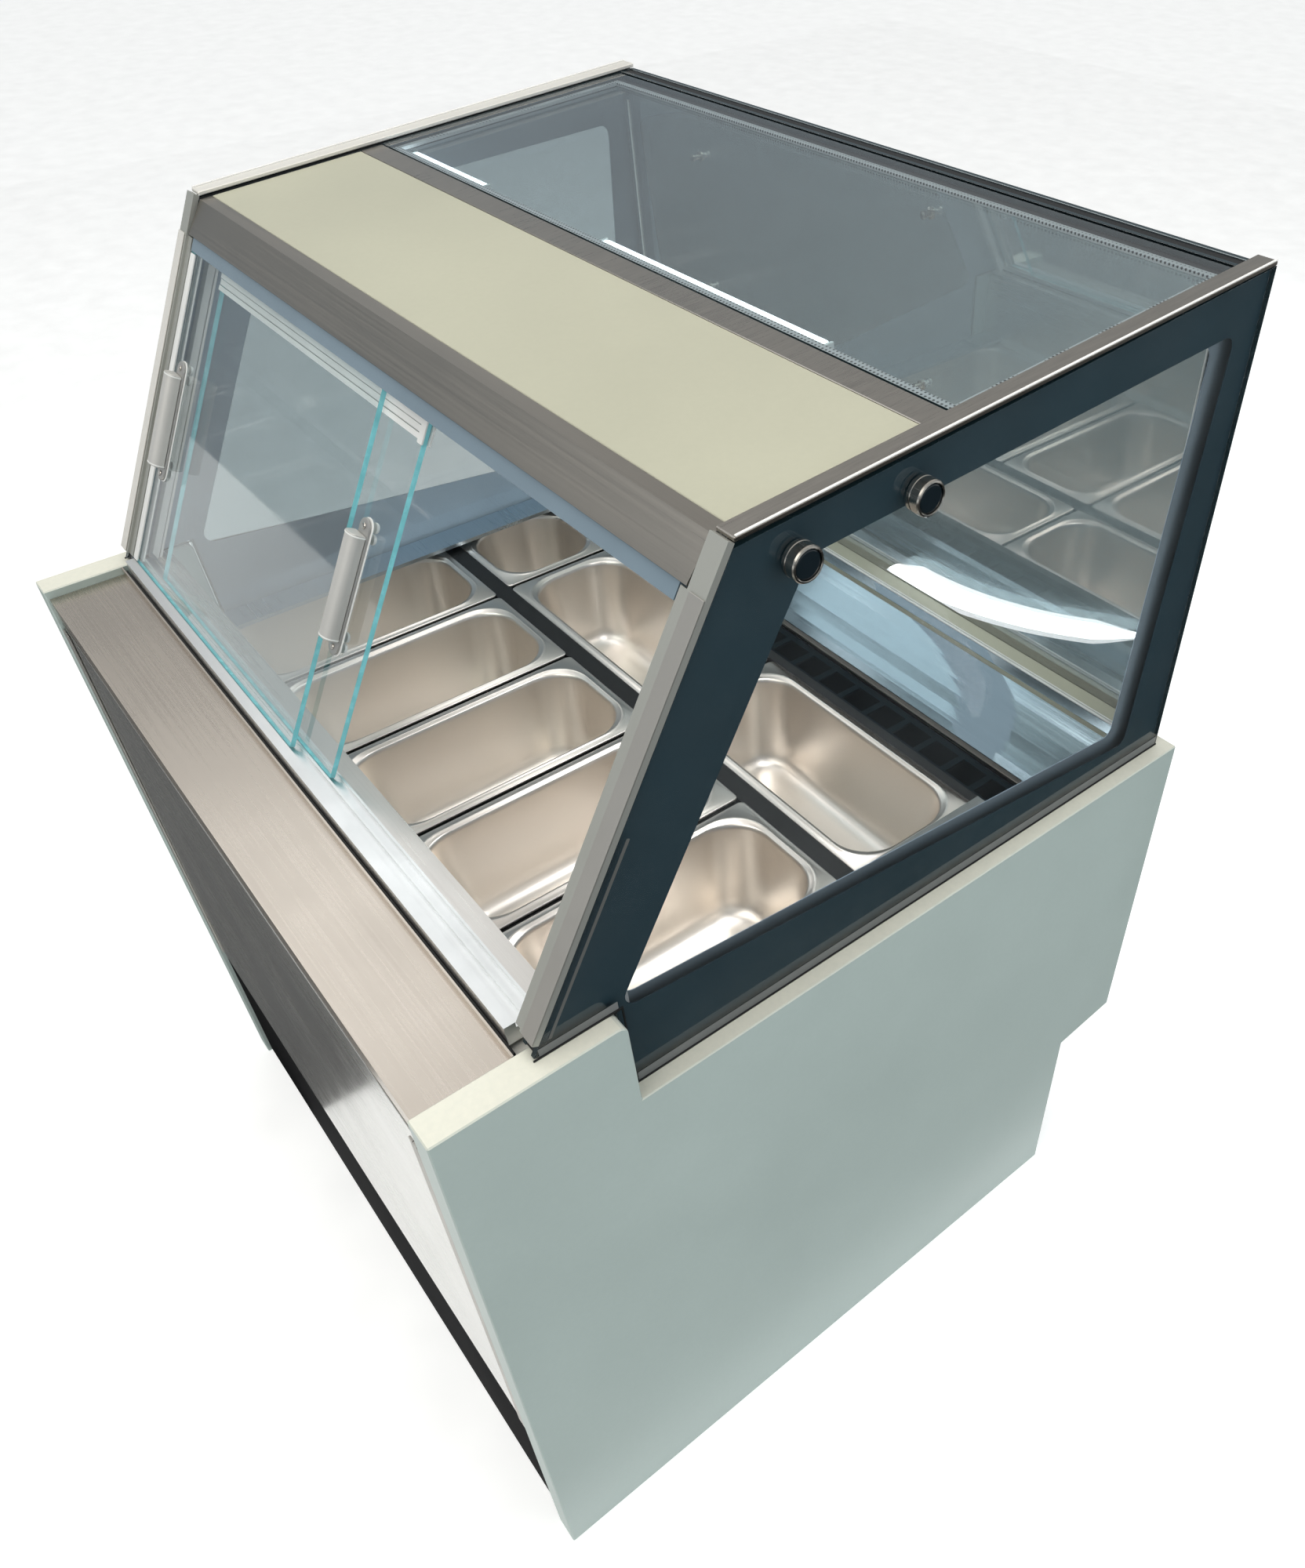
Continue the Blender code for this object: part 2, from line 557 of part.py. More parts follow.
def canopy():
    """The fixed roof over the doors: beam, painted lid, stainless nose and rear strip, lamps."""
    x = GLASS_IN - 0.003
    beam = add("canopy_beam", box_mesh(((-x, 0.026, -0.0500), (x, 0.2120, -0.0085))), WHITE_LOOK, roof)
    soften(beam, 0.001)
    lid = box_mesh(((-x, 0.0164, -0.0080), (x, 0.1900, -0.0060)))
    soften(add("canopy_lid", lid, CREAM_LOOK, roof), 0.0006)
    rear = box_mesh(((-x, 0.1904, -0.0080), (x, 0.2165, -0.0056)))
    soften(add("canopy_rear_strip", rear, STEEL_LOOK, roof), 0.0006)
    nose = [on_roof(0.0160, -0.0062), on_roof(0.0025, -0.0062),
            on_slope(0.0010, NOSE_FOOT), on_slope(0.0140, NOSE_FOOT)]
    add("canopy_nose", slab_mesh(folded(nose, 0.0018), -x, x), STEEL_LOOK)
    for name, low, high in (("left", -0.4550, -0.2815), ("right", -0.0535, 0.2865)):
        lamp = box_mesh(((low, 0.2130, -0.0300), (high, 0.2540, -0.0198)))
        soften(add("canopy_lamp_" + name, lamp, WHITE_LOOK, roof), 0.002)
    reach = 0.0145
    for side, low in (("left", -GLASS_OUT - reach), ("right", GLASS_OUT + GAP)):
        for place, back in (("front", 0.0510), ("back", 0.1630)):
            mesh = round_mesh(0.0138, low, low + reach - GAP, on_roof(back, -0.0365), "X", 20)
            soften(add(f"canopy_knob_{place}_{side}", mesh, STEEL_LOOK, smooth=True), 0.0012)


def tracks():
    """The two-groove tracks that the doors run in."""
    y0, y1 = TRACK_Y
    z0, z1 = TRACK_Z
    groove, floor = 0.0085, 0.8822
    first, second = y0 + 0.0100, y0 + 0.0206
    outline = [(y0, z0), (y1, z0), (y1, z1), (second + groove, z1), (second + groove, floor),
               (second, floor), (second, z1), (first + groove, z1), (first + groove, floor),
               (first, floor), (first, z1), (y0, z1)]
    x = GLASS_IN - 0.012
    add("lower_track", slab_mesh(outline, -x, x), ALU_LOOK)
    low, high, roof_z = 0.3710, 0.3842, 0.3790
    wall = 0.0015
    cuts = [OUTER_DOOR_DEPTH, INNER_DOOR_DEPTH]
    half = DOOR_T / 2 + 0.0008
    outline = [(cuts[0] - half - wall, low), (cuts[0] - half - wall, high),
               (cuts[1] + half + wall, high), (cuts[1] + half + wall, low),
               (cuts[1] + half, low), (cuts[1] + half, roof_z), (cuts[1] - half, roof_z),
               (cuts[1] - half, low), (cuts[0] + half, low), (cuts[0] + half, roof_z),
               (cuts[0] - half, roof_z), (cuts[0] - half, low)]
    upper = add("upper_track", slab_mesh(outline, -x, x), WHITE_LOOK)
    upper.parent = slope


def doors():
    """Two sliding panes in neighbouring planes, each with a bar handle near its outer edge."""
    for name, left, depth, low, handle_x in (
            ("left", OUTER_DOOR_X, OUTER_DOOR_DEPTH, DOOR_LOW[0], -0.4145),
            ("right", INNER_DOOR_X, INNER_DOOR_DEPTH, DOOR_LOW[1], 0.0305)):
        pane = box_mesh(((left, depth - DOOR_T / 2, low),
                         (left + DOOR_W, depth + DOOR_T / 2, DOOR_HIGH)))
        soften(add(f"door_{name}_glass", pane, GLASS_LOOK, slope), 0.0006)
        outside = depth - DOOR_T / 2 - GAP
        handle = add(f"door_{name}_handle", handle_mesh(handle_x, outside), ALU_LOOK, slope)
        handle.data.set_sharp_from_angle(angle=math.radians(35))


def handle_mesh(x, outside):
    """A back plate with round ends and the block grip that stands on it."""
    low, high, margin = 0.1280, 0.2620, 0.0150
    plate = slab_mesh([(low, x - 0.0095, 0.0094), (low, x + 0.0095, 0.0094),
                       (high, x + 0.0095, 0.0094), (high, x - 0.0095, 0.0094)],
                      outside - 0.0030, outside, "Y", steps=4)
    left, right = x - 0.0115, x + 0.0090
    grip = slab_mesh([(low + margin, left, 0.004), (low + margin, right, 0.004),
                      (high - margin, right, 0.004), (high - margin, left, 0.004)],
                     outside - 0.0160, outside - 0.0020, "Y", steps=2)
    return join_meshes([plate, grip])


# ---------------------------------------------------------------- refrigeration
def rotor_mesh(radius, hub, blades, depth):
    """A fan rotor about Y: a hub with pitched blades, centred on its axis."""
    bodies = [round_mesh(hub, -depth / 2, depth / 2, (0, 0), "Y", 16)]
    for blade in range(blades):
        pitch = Matrix.Rotation(math.radians(28), 4, "X")
        turn = Matrix.Rotation(2 * math.pi * blade / blades, 4, "Y")
        mesh = box_mesh(((hub * 0.7, -0.0012, -radius * 0.26), (radius, 0.0012, radius * 0.26)))
        mesh.transform(turn @ pitch)
        bodies.append(mesh)
    return join_meshes(bodies)


def refrigeration():
    """Compressor, condenser and fan on the tray; evaporator and fan in the tub; control box."""
    dome = [(0, 0.268), (0.035, 0.262), (0.062, 0.245), (0.070, 0.215), (0.070, 0.175), (0.074, 0.172),
            (0.074, 0.164), (0.070, 0.161), (0.070, 0.100), (0.060, 0.072), (0.030, 0.058), (0, 0.0550)]
    compressor = add("compressor", turned_mesh(dome, 24), (BLACK, 0.3, 0.4), smooth=True)
    compressor.location = (-0.270, -0.120, 0)
    metal = ((0.5, 0.5, 0.5, 1), 1.0, 0.4)
    add("condenser", fin_block(0.020, 0.320, 0.160, 0.220, 0.056, 0.300, 15), metal)
    frame = box_mesh(((0.020, 0.1280, 0.056), (0.320, 0.1590, 0.300)))
    shroud = add("condenser_shroud", frame, BLACK_LOOK)
    combine(shroud, round_mesh(0.106, 0.10, 0.20, (0.170, 0.178), "Y", 32), "DIFFERENCE")
    fan = add("condenser_fan", rotor_mesh(0.098, 0.028, 5, 0.016), BLACK_LOOK)
    fan.location = (0.170, 0.1460, 0.178)
    combine(shroud, round_mesh(0.026, 0.070, 0.1315, (0.170, 0.178), "Y", 20), "UNION")
    combine(shroud, box_mesh(((0.055, 0.1285, 0.174), (0.285, 0.1320, 0.182))), "UNION")
    housing = box_mesh(((0.230, -0.360, 0.056), (0.400, -0.250, 0.190)))
    add("control_box", housing, ((0.4, 0.4, 0.4, 1), 0.0, 0.5))
    tray = open_box_mesh((-0.150, -0.330, 0.0550), (0.120, -0.180, 0.085), 0.0015)
    add("evaporation_tray", tray, BLACK_LOOK)
    add("evaporator", fin_block(-0.300, 0.220, -0.180, -0.060, 0.4640, 0.5600, 20), metal)
    sheet = box_mesh(((-0.440, -0.0440, 0.4640), (0.440, -0.0420, 0.6200)))
    plate = add("evaporator_fan_plate", sheet, STEEL_LOOK)
    combine(plate, round_mesh(0.068, -0.10, 0.10, (-0.040, 0.542), "Y", 28), "DIFFERENCE")
    rotor = add("evaporator_fan", rotor_mesh(0.062, 0.020, 5, 0.012), BLACK_LOOK)
    rotor.location = (-0.040, -0.034, 0.542)
    combine(plate, round_mesh(0.018, -0.0240, 0.0300, (-0.040, 0.542), "Y", 20), "UNION")
    combine(plate, box_mesh(((-0.044, -0.0230, 0.4640), (-0.036, 0.0150, 0.542))), "UNION")
    combine(plate, box_mesh(((-0.048, -0.0430, 0.4640), (-0.032, 0.0150, 0.4665))), "UNION")


def fin_block(x0, x1, y0, y1, z0, z1, teeth):
    """A block of upright fins on a base plate, from y0 to y1."""
    pitch = (x1 - x0) / (2 * teeth - 1)
    root = z0 + 0.012
    points = [(z0, x0), (z1, x0)]
    for tooth in range(teeth - 1):
        edge = x0 + (2 * tooth + 1) * pitch
        points += [(z1, edge), (root, edge), (root, edge + pitch), (z1, edge + pitch)]
    points += [(z1, x1), (z0, x1)]
    return slab_mesh(points, y0, y1, "Y")


end_panels()
base()
outer_sheets()
tank()
deck()
pans()
glass_house()
canopy()
tracks()
doors()
refrigeration()
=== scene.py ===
"""Looks of the serve-over display freezer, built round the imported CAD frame.

The service side (work shelf, sliding doors) faces -Y and the customer side faces +Y.
"""

import math

import bmesh
import bpy
from mathutils import Matrix, Vector


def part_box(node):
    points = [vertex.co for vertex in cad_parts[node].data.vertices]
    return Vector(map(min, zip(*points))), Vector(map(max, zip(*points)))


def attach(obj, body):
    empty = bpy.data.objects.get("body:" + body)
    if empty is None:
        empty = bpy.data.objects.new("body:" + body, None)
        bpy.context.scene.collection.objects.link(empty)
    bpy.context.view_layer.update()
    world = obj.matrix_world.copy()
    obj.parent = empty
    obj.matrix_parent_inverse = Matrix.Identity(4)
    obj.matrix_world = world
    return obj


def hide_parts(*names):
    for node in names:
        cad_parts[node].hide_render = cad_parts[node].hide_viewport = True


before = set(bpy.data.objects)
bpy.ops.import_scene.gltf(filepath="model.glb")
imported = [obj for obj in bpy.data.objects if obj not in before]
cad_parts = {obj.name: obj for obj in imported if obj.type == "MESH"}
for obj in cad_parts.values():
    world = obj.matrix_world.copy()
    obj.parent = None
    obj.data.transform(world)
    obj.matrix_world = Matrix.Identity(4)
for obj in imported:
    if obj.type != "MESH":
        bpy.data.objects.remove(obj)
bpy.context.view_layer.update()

CABINET = "cabinet"
LEFT_DOOR = "left_door"
RIGHT_DOOR = "right_door"

# ---------------------------------------------------------------- planes of the glass house
SLOPE_FOOT = Vector((0, -0.337, 0.875))
ROOF_LOW = Vector((0, -0.114, 1.2375))
ROOF_HIGH = Vector((0, 0.451, 1.279))
X = Vector((1, 0, 0))
UP = (ROOF_LOW - SLOPE_FOOT).normalized()
OUT = X.cross(UP)                     # out of the doors' slope
BACK = (ROOF_HIGH - ROOF_LOW).normalized()
ROOF_NORMAL = X.cross(BACK)
SLOPE_LENGTH = (ROOF_LOW - SLOPE_FOOT).length
ROOF_LENGTH = (ROOF_HIGH - ROOF_LOW).length
GLASS_OUT = 0.482
GLASS_IN = 0.462
PANE = 0.005
PRINT = 0.0004                        # a printed layer, thick enough to keep its two sides apart
DECK_TOP = 0.771


def plane(origin, across, along):
    """A matrix that puts a flat outline in a plane, its third axis along the plane's normal."""
    normal = across.cross(along)
    return Matrix.Translation(origin) @ Matrix((across, along, normal)).transposed().to_4x4()


FLAT = Matrix.Identity(4)
SIDE = plane(Vector(), Vector((0, 1, 0)), Vector((0, 0, 1)))     # outlines in Y and Z, thick in X
FRONT = plane(Vector(), X, Vector((0, 0, 1)))                    # outlines in X and Z, thick in -Y
SLOPE = plane(SLOPE_FOOT, X, UP)
ACROSS_SLOPE = plane(SLOPE_FOOT, X, OUT)                         # outlines in X and out of the slope
ROOF = plane(ROOF_LOW, X, BACK)


def on_slope(depth, up):
    """Y and Z of a point on the doors' slope, depth measured into the cabinet."""
    point = SLOPE_FOOT + UP * up - OUT * depth
    return point.y, point.z


def on_roof(back, up):
    """Y and Z of a point on the roof's plane, up measured out of it."""
    point = ROOF_LOW + BACK * back + ROOF_NORMAL * up
    return point.y, point.z


def mirrored(sign, first, second):
    """Two distances taken to the side of sign, the lower one first."""
    return sorted((sign * first, sign * second))


# ---------------------------------------------------------------- material nodes
class Look:
    """A node material, with short calls for the nodes that the looks here share."""

    def __init__(self, name):
        self.material = bpy.data.materials.new(name)
        self.material.use_nodes = True
        self.tree = self.material.node_tree
        self.shader = self.tree.nodes["Principled BSDF"]
        self.output = self.tree.nodes["Material Output"]

    def node(self, kind, inputs=(), **settings):
        """A node of a kind, its inputs set to values or linked to sockets."""
        made = self.tree.nodes.new("ShaderNode" + kind)
        for key, value in settings.items():
            setattr(made, key, value)
        for key, value in dict(inputs).items():
            if isinstance(value, bpy.types.NodeSocket):
                self.tree.links.new(value, made.inputs[key])
            else:
                made.inputs[key].default_value = value
        return made

    def link(self, source, target):
        """Joins two sockets."""
        self.tree.links.new(source, target)

    def noise(self, stretch, scale=1.0, detail=4.0, roughness=0.55):
        """Noise over the piece's own coordinates, in metres, stretched by a scale for each axis."""
        place = self.node("TexCoord").outputs["Object"]
        mapped = self.node("Mapping", {"Vector": place, "Scale": stretch})
        noise = self.node("TexNoise", {"Vector": mapped.outputs[0], "Scale": scale,
                                       "Detail": detail, "Roughness": roughness})
        return noise.outputs[0]

    def scaled(self, value, low, high):
        """Noise, which mostly lies between 0.3 and 0.7, spread from low to high."""
        spread = self.node("MapRange", {"Value": value, "From Min": 0.3, "From Max": 0.7,
                                        "To Min": low, "To Max": high})
        return spread.outputs[0]

    def mix(self, factor, first, second):
        """A blend of two colours or colour sockets."""
        made = self.node("Mix", {0: factor}, data_type="RGBA")
        for index, value in ((6, first), (7, second)):
            if isinstance(value, bpy.types.NodeSocket):
                self.link(value, made.inputs[index])
            else:
                made.inputs[index].default_value = (*value[:3], 1)
        return made.outputs[2]

    def bump(self, height, strength, distance):
        """Relief on the surface, distance being its depth in metres."""
        made = self.node("Bump", {"Height": height, "Strength": strength, "Distance": distance})
        self.link(made.outputs[0], self.shader.inputs["Normal"])

    def principled(self, colour, roughness, metallic=0.0, **more):
        """The finished material; more names further inputs, with underscores for spaces."""
        for key, value in (("Base Color", colour), ("Roughness", roughness)):
            if isinstance(value, bpy.types.NodeSocket):
                self.link(value, self.shader.inputs[key])
            else:
                self.shader.inputs[key].default_value = (*value[:3], 1) if key == "Base Color" else value
        self.shader.inputs["Metallic"].default_value = metallic
        for key, value in more.items():
            self.shader.inputs[key.replace("_", " ")].default_value = value
        return self.material


def shade(colour, factor):
    """The colour made lighter or darker by a factor."""
    return tuple(min(channel * factor, 1.0) for channel in colour)


def brushed(name, colour, roughness, along="X", contrast=0.12, bump=0.10):
    """Brushed metal, its grain along one axis, with soft patches of wear."""
    look = Look(name)
    stretch = {"X": (2.5, 420, 420), "Y": (420, 2.5, 420), "Z": (420, 420, 2.5)}[along]
    grain = look.noise(stretch, 1.0, 6.0, 0.7)
    patches = look.noise((1, 1, 1), 5.0, 3.0)
    tone = look.mix(look.scaled(grain, 0, 1), shade(colour, 1 - contrast), shade(colour, 1 + contrast))
    tone = look.mix(look.scaled(patches, 0, 0.25), tone, shade(colour, 0.85))
    rough = look.node("Math", {0: look.scaled(grain, roughness - 0.05, roughness + 0.06),
                               1: look.scaled(patches, -0.03, 0.05)}, operation="ADD").outputs[0]
    look.bump(grain, bump, 0.0004)
    return look.principled(tone, rough, 1.0)


def satin(name, colour, roughness, metallic=1.0, bump=0.06, stain=0.5):
    """Pressed or anodised metal: fine even tooth with faint stains."""
    look = Look(name)
    tooth = look.noise((1, 1, 1), 900.0, 3.0)
    stains = look.noise((1, 1, 1), 14.0, 4.0)
    tone = look.mix(look.scaled(stains, 0, stain), shade(colour, 1.04), shade(colour, 0.88))
    rough = look.node("Math", {0: look.scaled(tooth, roughness - 0.03, roughness + 0.03),
                               1: look.scaled(stains, -0.05 * stain, 0.08 * stain)},
                      operation="ADD").outputs[0]
    look.bump(tooth, bump, 0.0002)
    return look.principled(tone, rough, metallic)


def painted(name, colour, roughness, grain=650.0, bump=0.10, wear=0.05, painted_top_light=None, specular=0.5):
    """Powder coat or paint: orange peel, a slow drift of tone and a little dust.

    The tone given for faces that look up is painted light: it makes them paler, as light from above does. A
    low specular is a matt coat.
    """
    look = Look(name)
    peel = look.noise((1, 1, 1), grain, 2.0)
    drift = look.noise((1, 1, 1), 3.0, 4.0)
    tone = look.mix(look.scaled(drift, 0, 1), shade(colour, 1 - wear), shade(colour, 1 + wear))
    # faces that look up are blended to a paler tone: painted light from above
    if painted_top_light:
        facing = look.node("SeparateXYZ", {"Vector": look.node("NewGeometry").outputs["Normal"]})
        upward = look.node("MapRange", {"Value": facing.outputs["Z"], "From Min": 0.25, "From Max": 0.95,
                                        "To Min": 0.0, "To Max": 1.0})
        tone = look.mix(upward.outputs[0], tone, painted_top_light)
    speck = look.noise((1, 1, 1), 160.0, 2.0)
    tone = look.mix(look.scaled(speck, 0, 0.10), tone, shade(colour, 0.8))
    look.bump(peel, bump, 0.0003)
    return look.principled(tone, look.scaled(drift, roughness - 0.05, roughness + 0.07),
                           Specular_IOR_Level=specular)


def glass(name, through, gain, dust=0.006):
    """Clear sheet: light goes straight on, and only the face it enters by reflects.

    gain scales the reflection, for the panes' coatings and the inner faces that are left out.
    """
    look = Look(name)
    smears = look.noise((1, 1, 1), 11.0, 5.0)
    clear = look.node("BsdfTransparent", {"Color": (*through, 1)})
    gloss = look.node("BsdfGlossy", {"Color": (1, 1, 1, 1),
                                     "Roughness": look.scaled(smears, 0.010, 0.045)})
    facing = look.node("NewGeometry").outputs["Backfacing"]
    front = look.node("Math", {0: 1.0, 1: facing}, operation="SUBTRACT").outputs[0]
    fresnel = look.node("Math", {0: look.node("Fresnel", {"IOR": 1.5}).outputs[0], 1: gain},
                        operation="MULTIPLY", use_clamp=True).outputs[0]
    amount = look.node("Math", {0: fresnel, 1: front}, operation="MULTIPLY").outputs[0]
    sheet = look.node("MixShader", {0: amount, 1: clear.outputs[0], 2: gloss.outputs[0]})
    film = look.node("BsdfDiffuse", {"Color": (0.75, 0.82, 0.85, 1)})
    dusty = look.node("Math", {0: look.scaled(smears, dust * 0.3, dust * 1.7), 1: front},
                      operation="MULTIPLY").outputs[0]
    final = look.node("MixShader", {0: dusty, 1: sheet.outputs[0], 2: film.outputs[0]})
    look.link(final.outputs[0], look.output.inputs["Surface"])
    return look.material


def glass_edge(name, colour):
    """The ground edge of a sheet, which glows with the light the sheet carries."""
    look = Look(name)
    streaks = look.noise((60, 60, 60), 1.0, 3.0)
    tone = look.mix(look.scaled(streaks, 0, 1), shade(colour, 0.8), shade(colour, 1.15))
    look.shader.inputs["Emission Strength"].default_value = 0.25
    look.shader.inputs["Emission Color"].default_value = (*colour, 1)
    return look.principled(tone, look.scaled(streaks, 0.15, 0.35))


def perforated(name, colour):
    """The punched aluminium spacer of a glazing unit: two rows of small holes."""
    look = Look(name)
    place = look.node("TexCoord").outputs["Object"]
    cells = look.node("TexVoronoi", {"Vector": place, "Scale": 230.0, "Randomness": 0.0})
    hole = look.node("MapRange", {"Value": cells.outputs["Distance"], "From Min": 0.22,
                                  "From Max": 0.32, "To Min": 1.0, "To Max": 0.0}).outputs[0]
    tone = look.mix(hole, colour, (0.02, 0.025, 0.03))
    rough = look.node("MapRange", {"Value": hole, "To Min": 0.35, "To Max": 0.8}).outputs[0]
    look.bump(cells.outputs["Distance"], 0.3, 0.0006)
    return look.principled(tone, rough, 0.6)


def moulded(name, colour, roughness, grain=500.0, glow=0.0):
    """Moulded plastic or rubber with a fine texture."""
    look = Look(name)
    texture = look.noise((1, 1, 1), grain, 3.0)
    drift = look.noise((1, 1, 1), 9.0, 3.0)
    tone = look.mix(look.scaled(drift, 0, 1), shade(colour, 0.92), shade(colour, 1.06))
    look.bump(texture, 0.08, 0.0003)
    if glow:
        look.shader.inputs["Emission Strength"].default_value = glow
        look.shader.inputs["Emission Color"].default_value = (*colour, 1)
    return look.principled(tone, look.scaled(texture, roughness - 0.05, roughness + 0.08))


# the paler tone on the sage panels' upward faces is painted light from above
SAGE = painted("sage_powder_coat", (0.385, 0.462, 0.440), 0.42, painted_top_light=(0.700, 0.705, 0.620))
CREAM = painted("cream_enamel", (0.425, 0.428, 0.335), 0.38, 420.0, 0.07)
CHASSIS = painted("black_chassis_coat", (0.008, 0.009, 0.010), 0.52)
# near-black: the grille's dark coat, and on the duct under its slots painted shade
GRILLE_COAT_AND_DUCT_SHADE = painted("dark_grille_coat_and_duct_shade", (0.004, 0.010, 0.014), 0.80, specular=0.08)
PLINTH_BLACK = painted("matt_black_plinth", (0.004, 0.004, 0.005), 0.90, specular=0.08)
SHELF_STEEL = brushed("brushed_shelf_steel", (0.60, 0.535, 0.465), 0.27, "X", 0.022, 0.012)
NOSE_STEEL = brushed("brushed_nose_steel", (0.37, 0.34, 0.30), 0.32, "X", 0.06, 0.04)
FRONT_STEEL = brushed("polished_front_steel", (0.66, 0.66, 0.64), 0.24, "X", 0.04, 0.02)
FLANGE_STEEL = brushed("brushed_flange_steel", (0.72, 0.69, 0.65), 0.30, "X", 0.05, 0.03)
# the end flanges are the flange steel in two copies: the left painted lighter and bluer, the right darker, as
# painted light and shade
LIT_LEFT_FLANGE = brushed("painted_lit_flange_steel", (0.58, 0.67, 0.74), 0.30, "X", 0.05, 0.03)
SHADED_RIGHT_FLANGE = brushed("painted_shade_flange_steel", (0.42, 0.43, 0.42), 0.36, "X", 0.05, 0.03)
DEFLECTOR_STEEL = brushed("polished_deflector_steel", (0.44, 0.54, 0.60), 0.15, "X", 0.06, 0.02)
SHEET_STEEL = brushed("brushed_sheet_steel", (0.55, 0.57, 0.59), 0.26, "X", 0.10, 0.06)
TRIM_STEEL = brushed("brushed_trim_steel", (0.42, 0.39, 0.35), 0.30, "Y")
KNOB_STEEL = brushed("turned_knob_steel", (0.50, 0.48, 0.44), 0.22, "X")
PAN_STEEL = satin("pressed_pan_steel", (0.86, 0.81, 0.755), 0.34, 1.0, 0.04, 0.12)
SILVER = satin("satin_anodised_aluminium", (0.82, 0.83, 0.82), 0.32)
PROFILE_GREY = satin("grey_edge_profile", (0.42, 0.43, 0.40), 0.45, 0.6)
PALE_SILVER = satin("pale_edge_profile", (0.42, 0.41, 0.385), 0.40, 0.7)
HANDLE = satin("satin_handle_aluminium", (0.56, 0.56, 0.54), 0.44, 0.45)
HANDLE_PLATE = satin("dark_handle_plate", (0.40, 0.40, 0.39), 0.40, 0.6)
# a paler copy of the trim steel for the left trims and profile face: painted light
LIT_LEFT_TRIM = satin("painted_lit_trim_steel", (0.74, 0.73, 0.69), 0.42, 0.35)
COIL = satin("bare_coil_aluminium", (0.52, 0.53, 0.54), 0.40)
DOOR_GLASS = glass("door_glass", (0.945, 0.968, 0.970), 1.35)
END_GLASS = glass("end_pane_glass", (0.992, 0.996, 0.996), 1.0)
# the same glass as the right end's, made to let through less light: painted shade
SHADED_FAR_GLASS = glass("shaded_left_end_pane_glass", (0.770, 0.795, 0.800), 1.0)
ROOF_GLASS = glass("roof_pane_glass", (0.945, 0.975, 0.980), 1.25)
CUSTOMER_GLASS = glass("customer_pane_glass", (0.680, 0.725, 0.735), 7.0, 0.003)
CYAN_EDGE = glass_edge("cyan_glass_edge", (0.16, 0.46, 0.50))
DARK_EDGE = glass_edge("deep_glass_edge", (0.006, 0.016, 0.020))
TEAL_PRINT = moulded("teal_printed_border", (0.004, 0.028, 0.042), 0.60, 40.0)
TAPE = moulded("clear_edge_tape", (0.10, 0.105, 0.10), 0.35)
TRACK_BLUE = moulded("grey_blue_track", (0.16, 0.22, 0.27), 0.35)
GREY_PRINT = moulded("inner_border_back", (0.155, 0.195, 0.225), 0.35)
# grey strips on the end glasses' feet: a painted reflection of the pale panel tops in the glass
FOOT_REFLECTION_GREY = moulded("end_glass_painted_reflection_strip", (0.160, 0.168, 0.168), 0.45)
# near-white: a painted highlight, the bright line along the roof trims' outer edges
TRIM_HIGHLIGHT = moulded("painted_highlight_trim_edge", (0.86, 0.86, 0.84), 0.35)
BLUE_PRINT = moulded("inner_border_face", (0.42, 0.53, 0.67), 0.30)
# the left glass's copy of the inner border print is paler: painted light
LIT_LEFT_PRINT = moulded("painted_lit_left_inner_border_face", (0.62, 0.74, 0.87), 0.30)
SPACER = perforated("punched_spacer", (0.50, 0.53, 0.55))
BLACK_SEAL = moulded("black_sealant", (0.008, 0.009, 0.010), 0.55)
WHITE_SEAL = moulded("white_gasket", (0.72, 0.74, 0.73), 0.35)
WHITE = moulded("white_moulding", (0.66, 0.68, 0.68), 0.40)
LAMP = moulded("lamp_diffuser", (0.90, 0.92, 0.93), 0.30, 500.0, 3.0)
BLACK = moulded("black_moulding", (0.018, 0.018, 0.020), 0.45)
FOAM = moulded("insulated_body_skin", (0.66, 0.66, 0.62), 0.55)
CAP = moulded("dark_knob_cap", (0.006, 0.012, 0.016), 0.14)


# ---------------------------------------------------------------- mesh helpers
def mesh_of(build):
    """A mesh filled in by build, a function of one bmesh."""
    bm = bmesh.new()
    build(bm)
    mesh = bpy.data.meshes.new("shape")
    bm.to_mesh(mesh)
    bm.free()
    return mesh


def rounded(corners, radius, steps=6):
    """A polygon's points with each corner turned into an arc; a corner may state its own radius."""
    points = []
    for index, corner in enumerate(corners):
        here = Vector(corner[:2])
        before = Vector(corners[index - 1][:2])
        after = Vector(corners[(index + 1) % len(corners)][:2])
        arc = corner[2] if len(corner) > 2 else radius
        if arc <= 0:
            points.append(tuple(here))
            continue
        one, two = (before - here).normalized(), (after - here).normalized()
        half = one.angle(two) / 2
        reach = arc / math.tan(half)
        centre = here + (one + two).normalized() * (arc / math.sin(half))
        start, end = here + one * reach - centre, here + two * reach - centre
        turn = start.angle_signed(end)
        for step in range(steps + 1):
            points.append(tuple(centre + Matrix.Rotation(-turn * step / steps, 2) @ start))
    return points


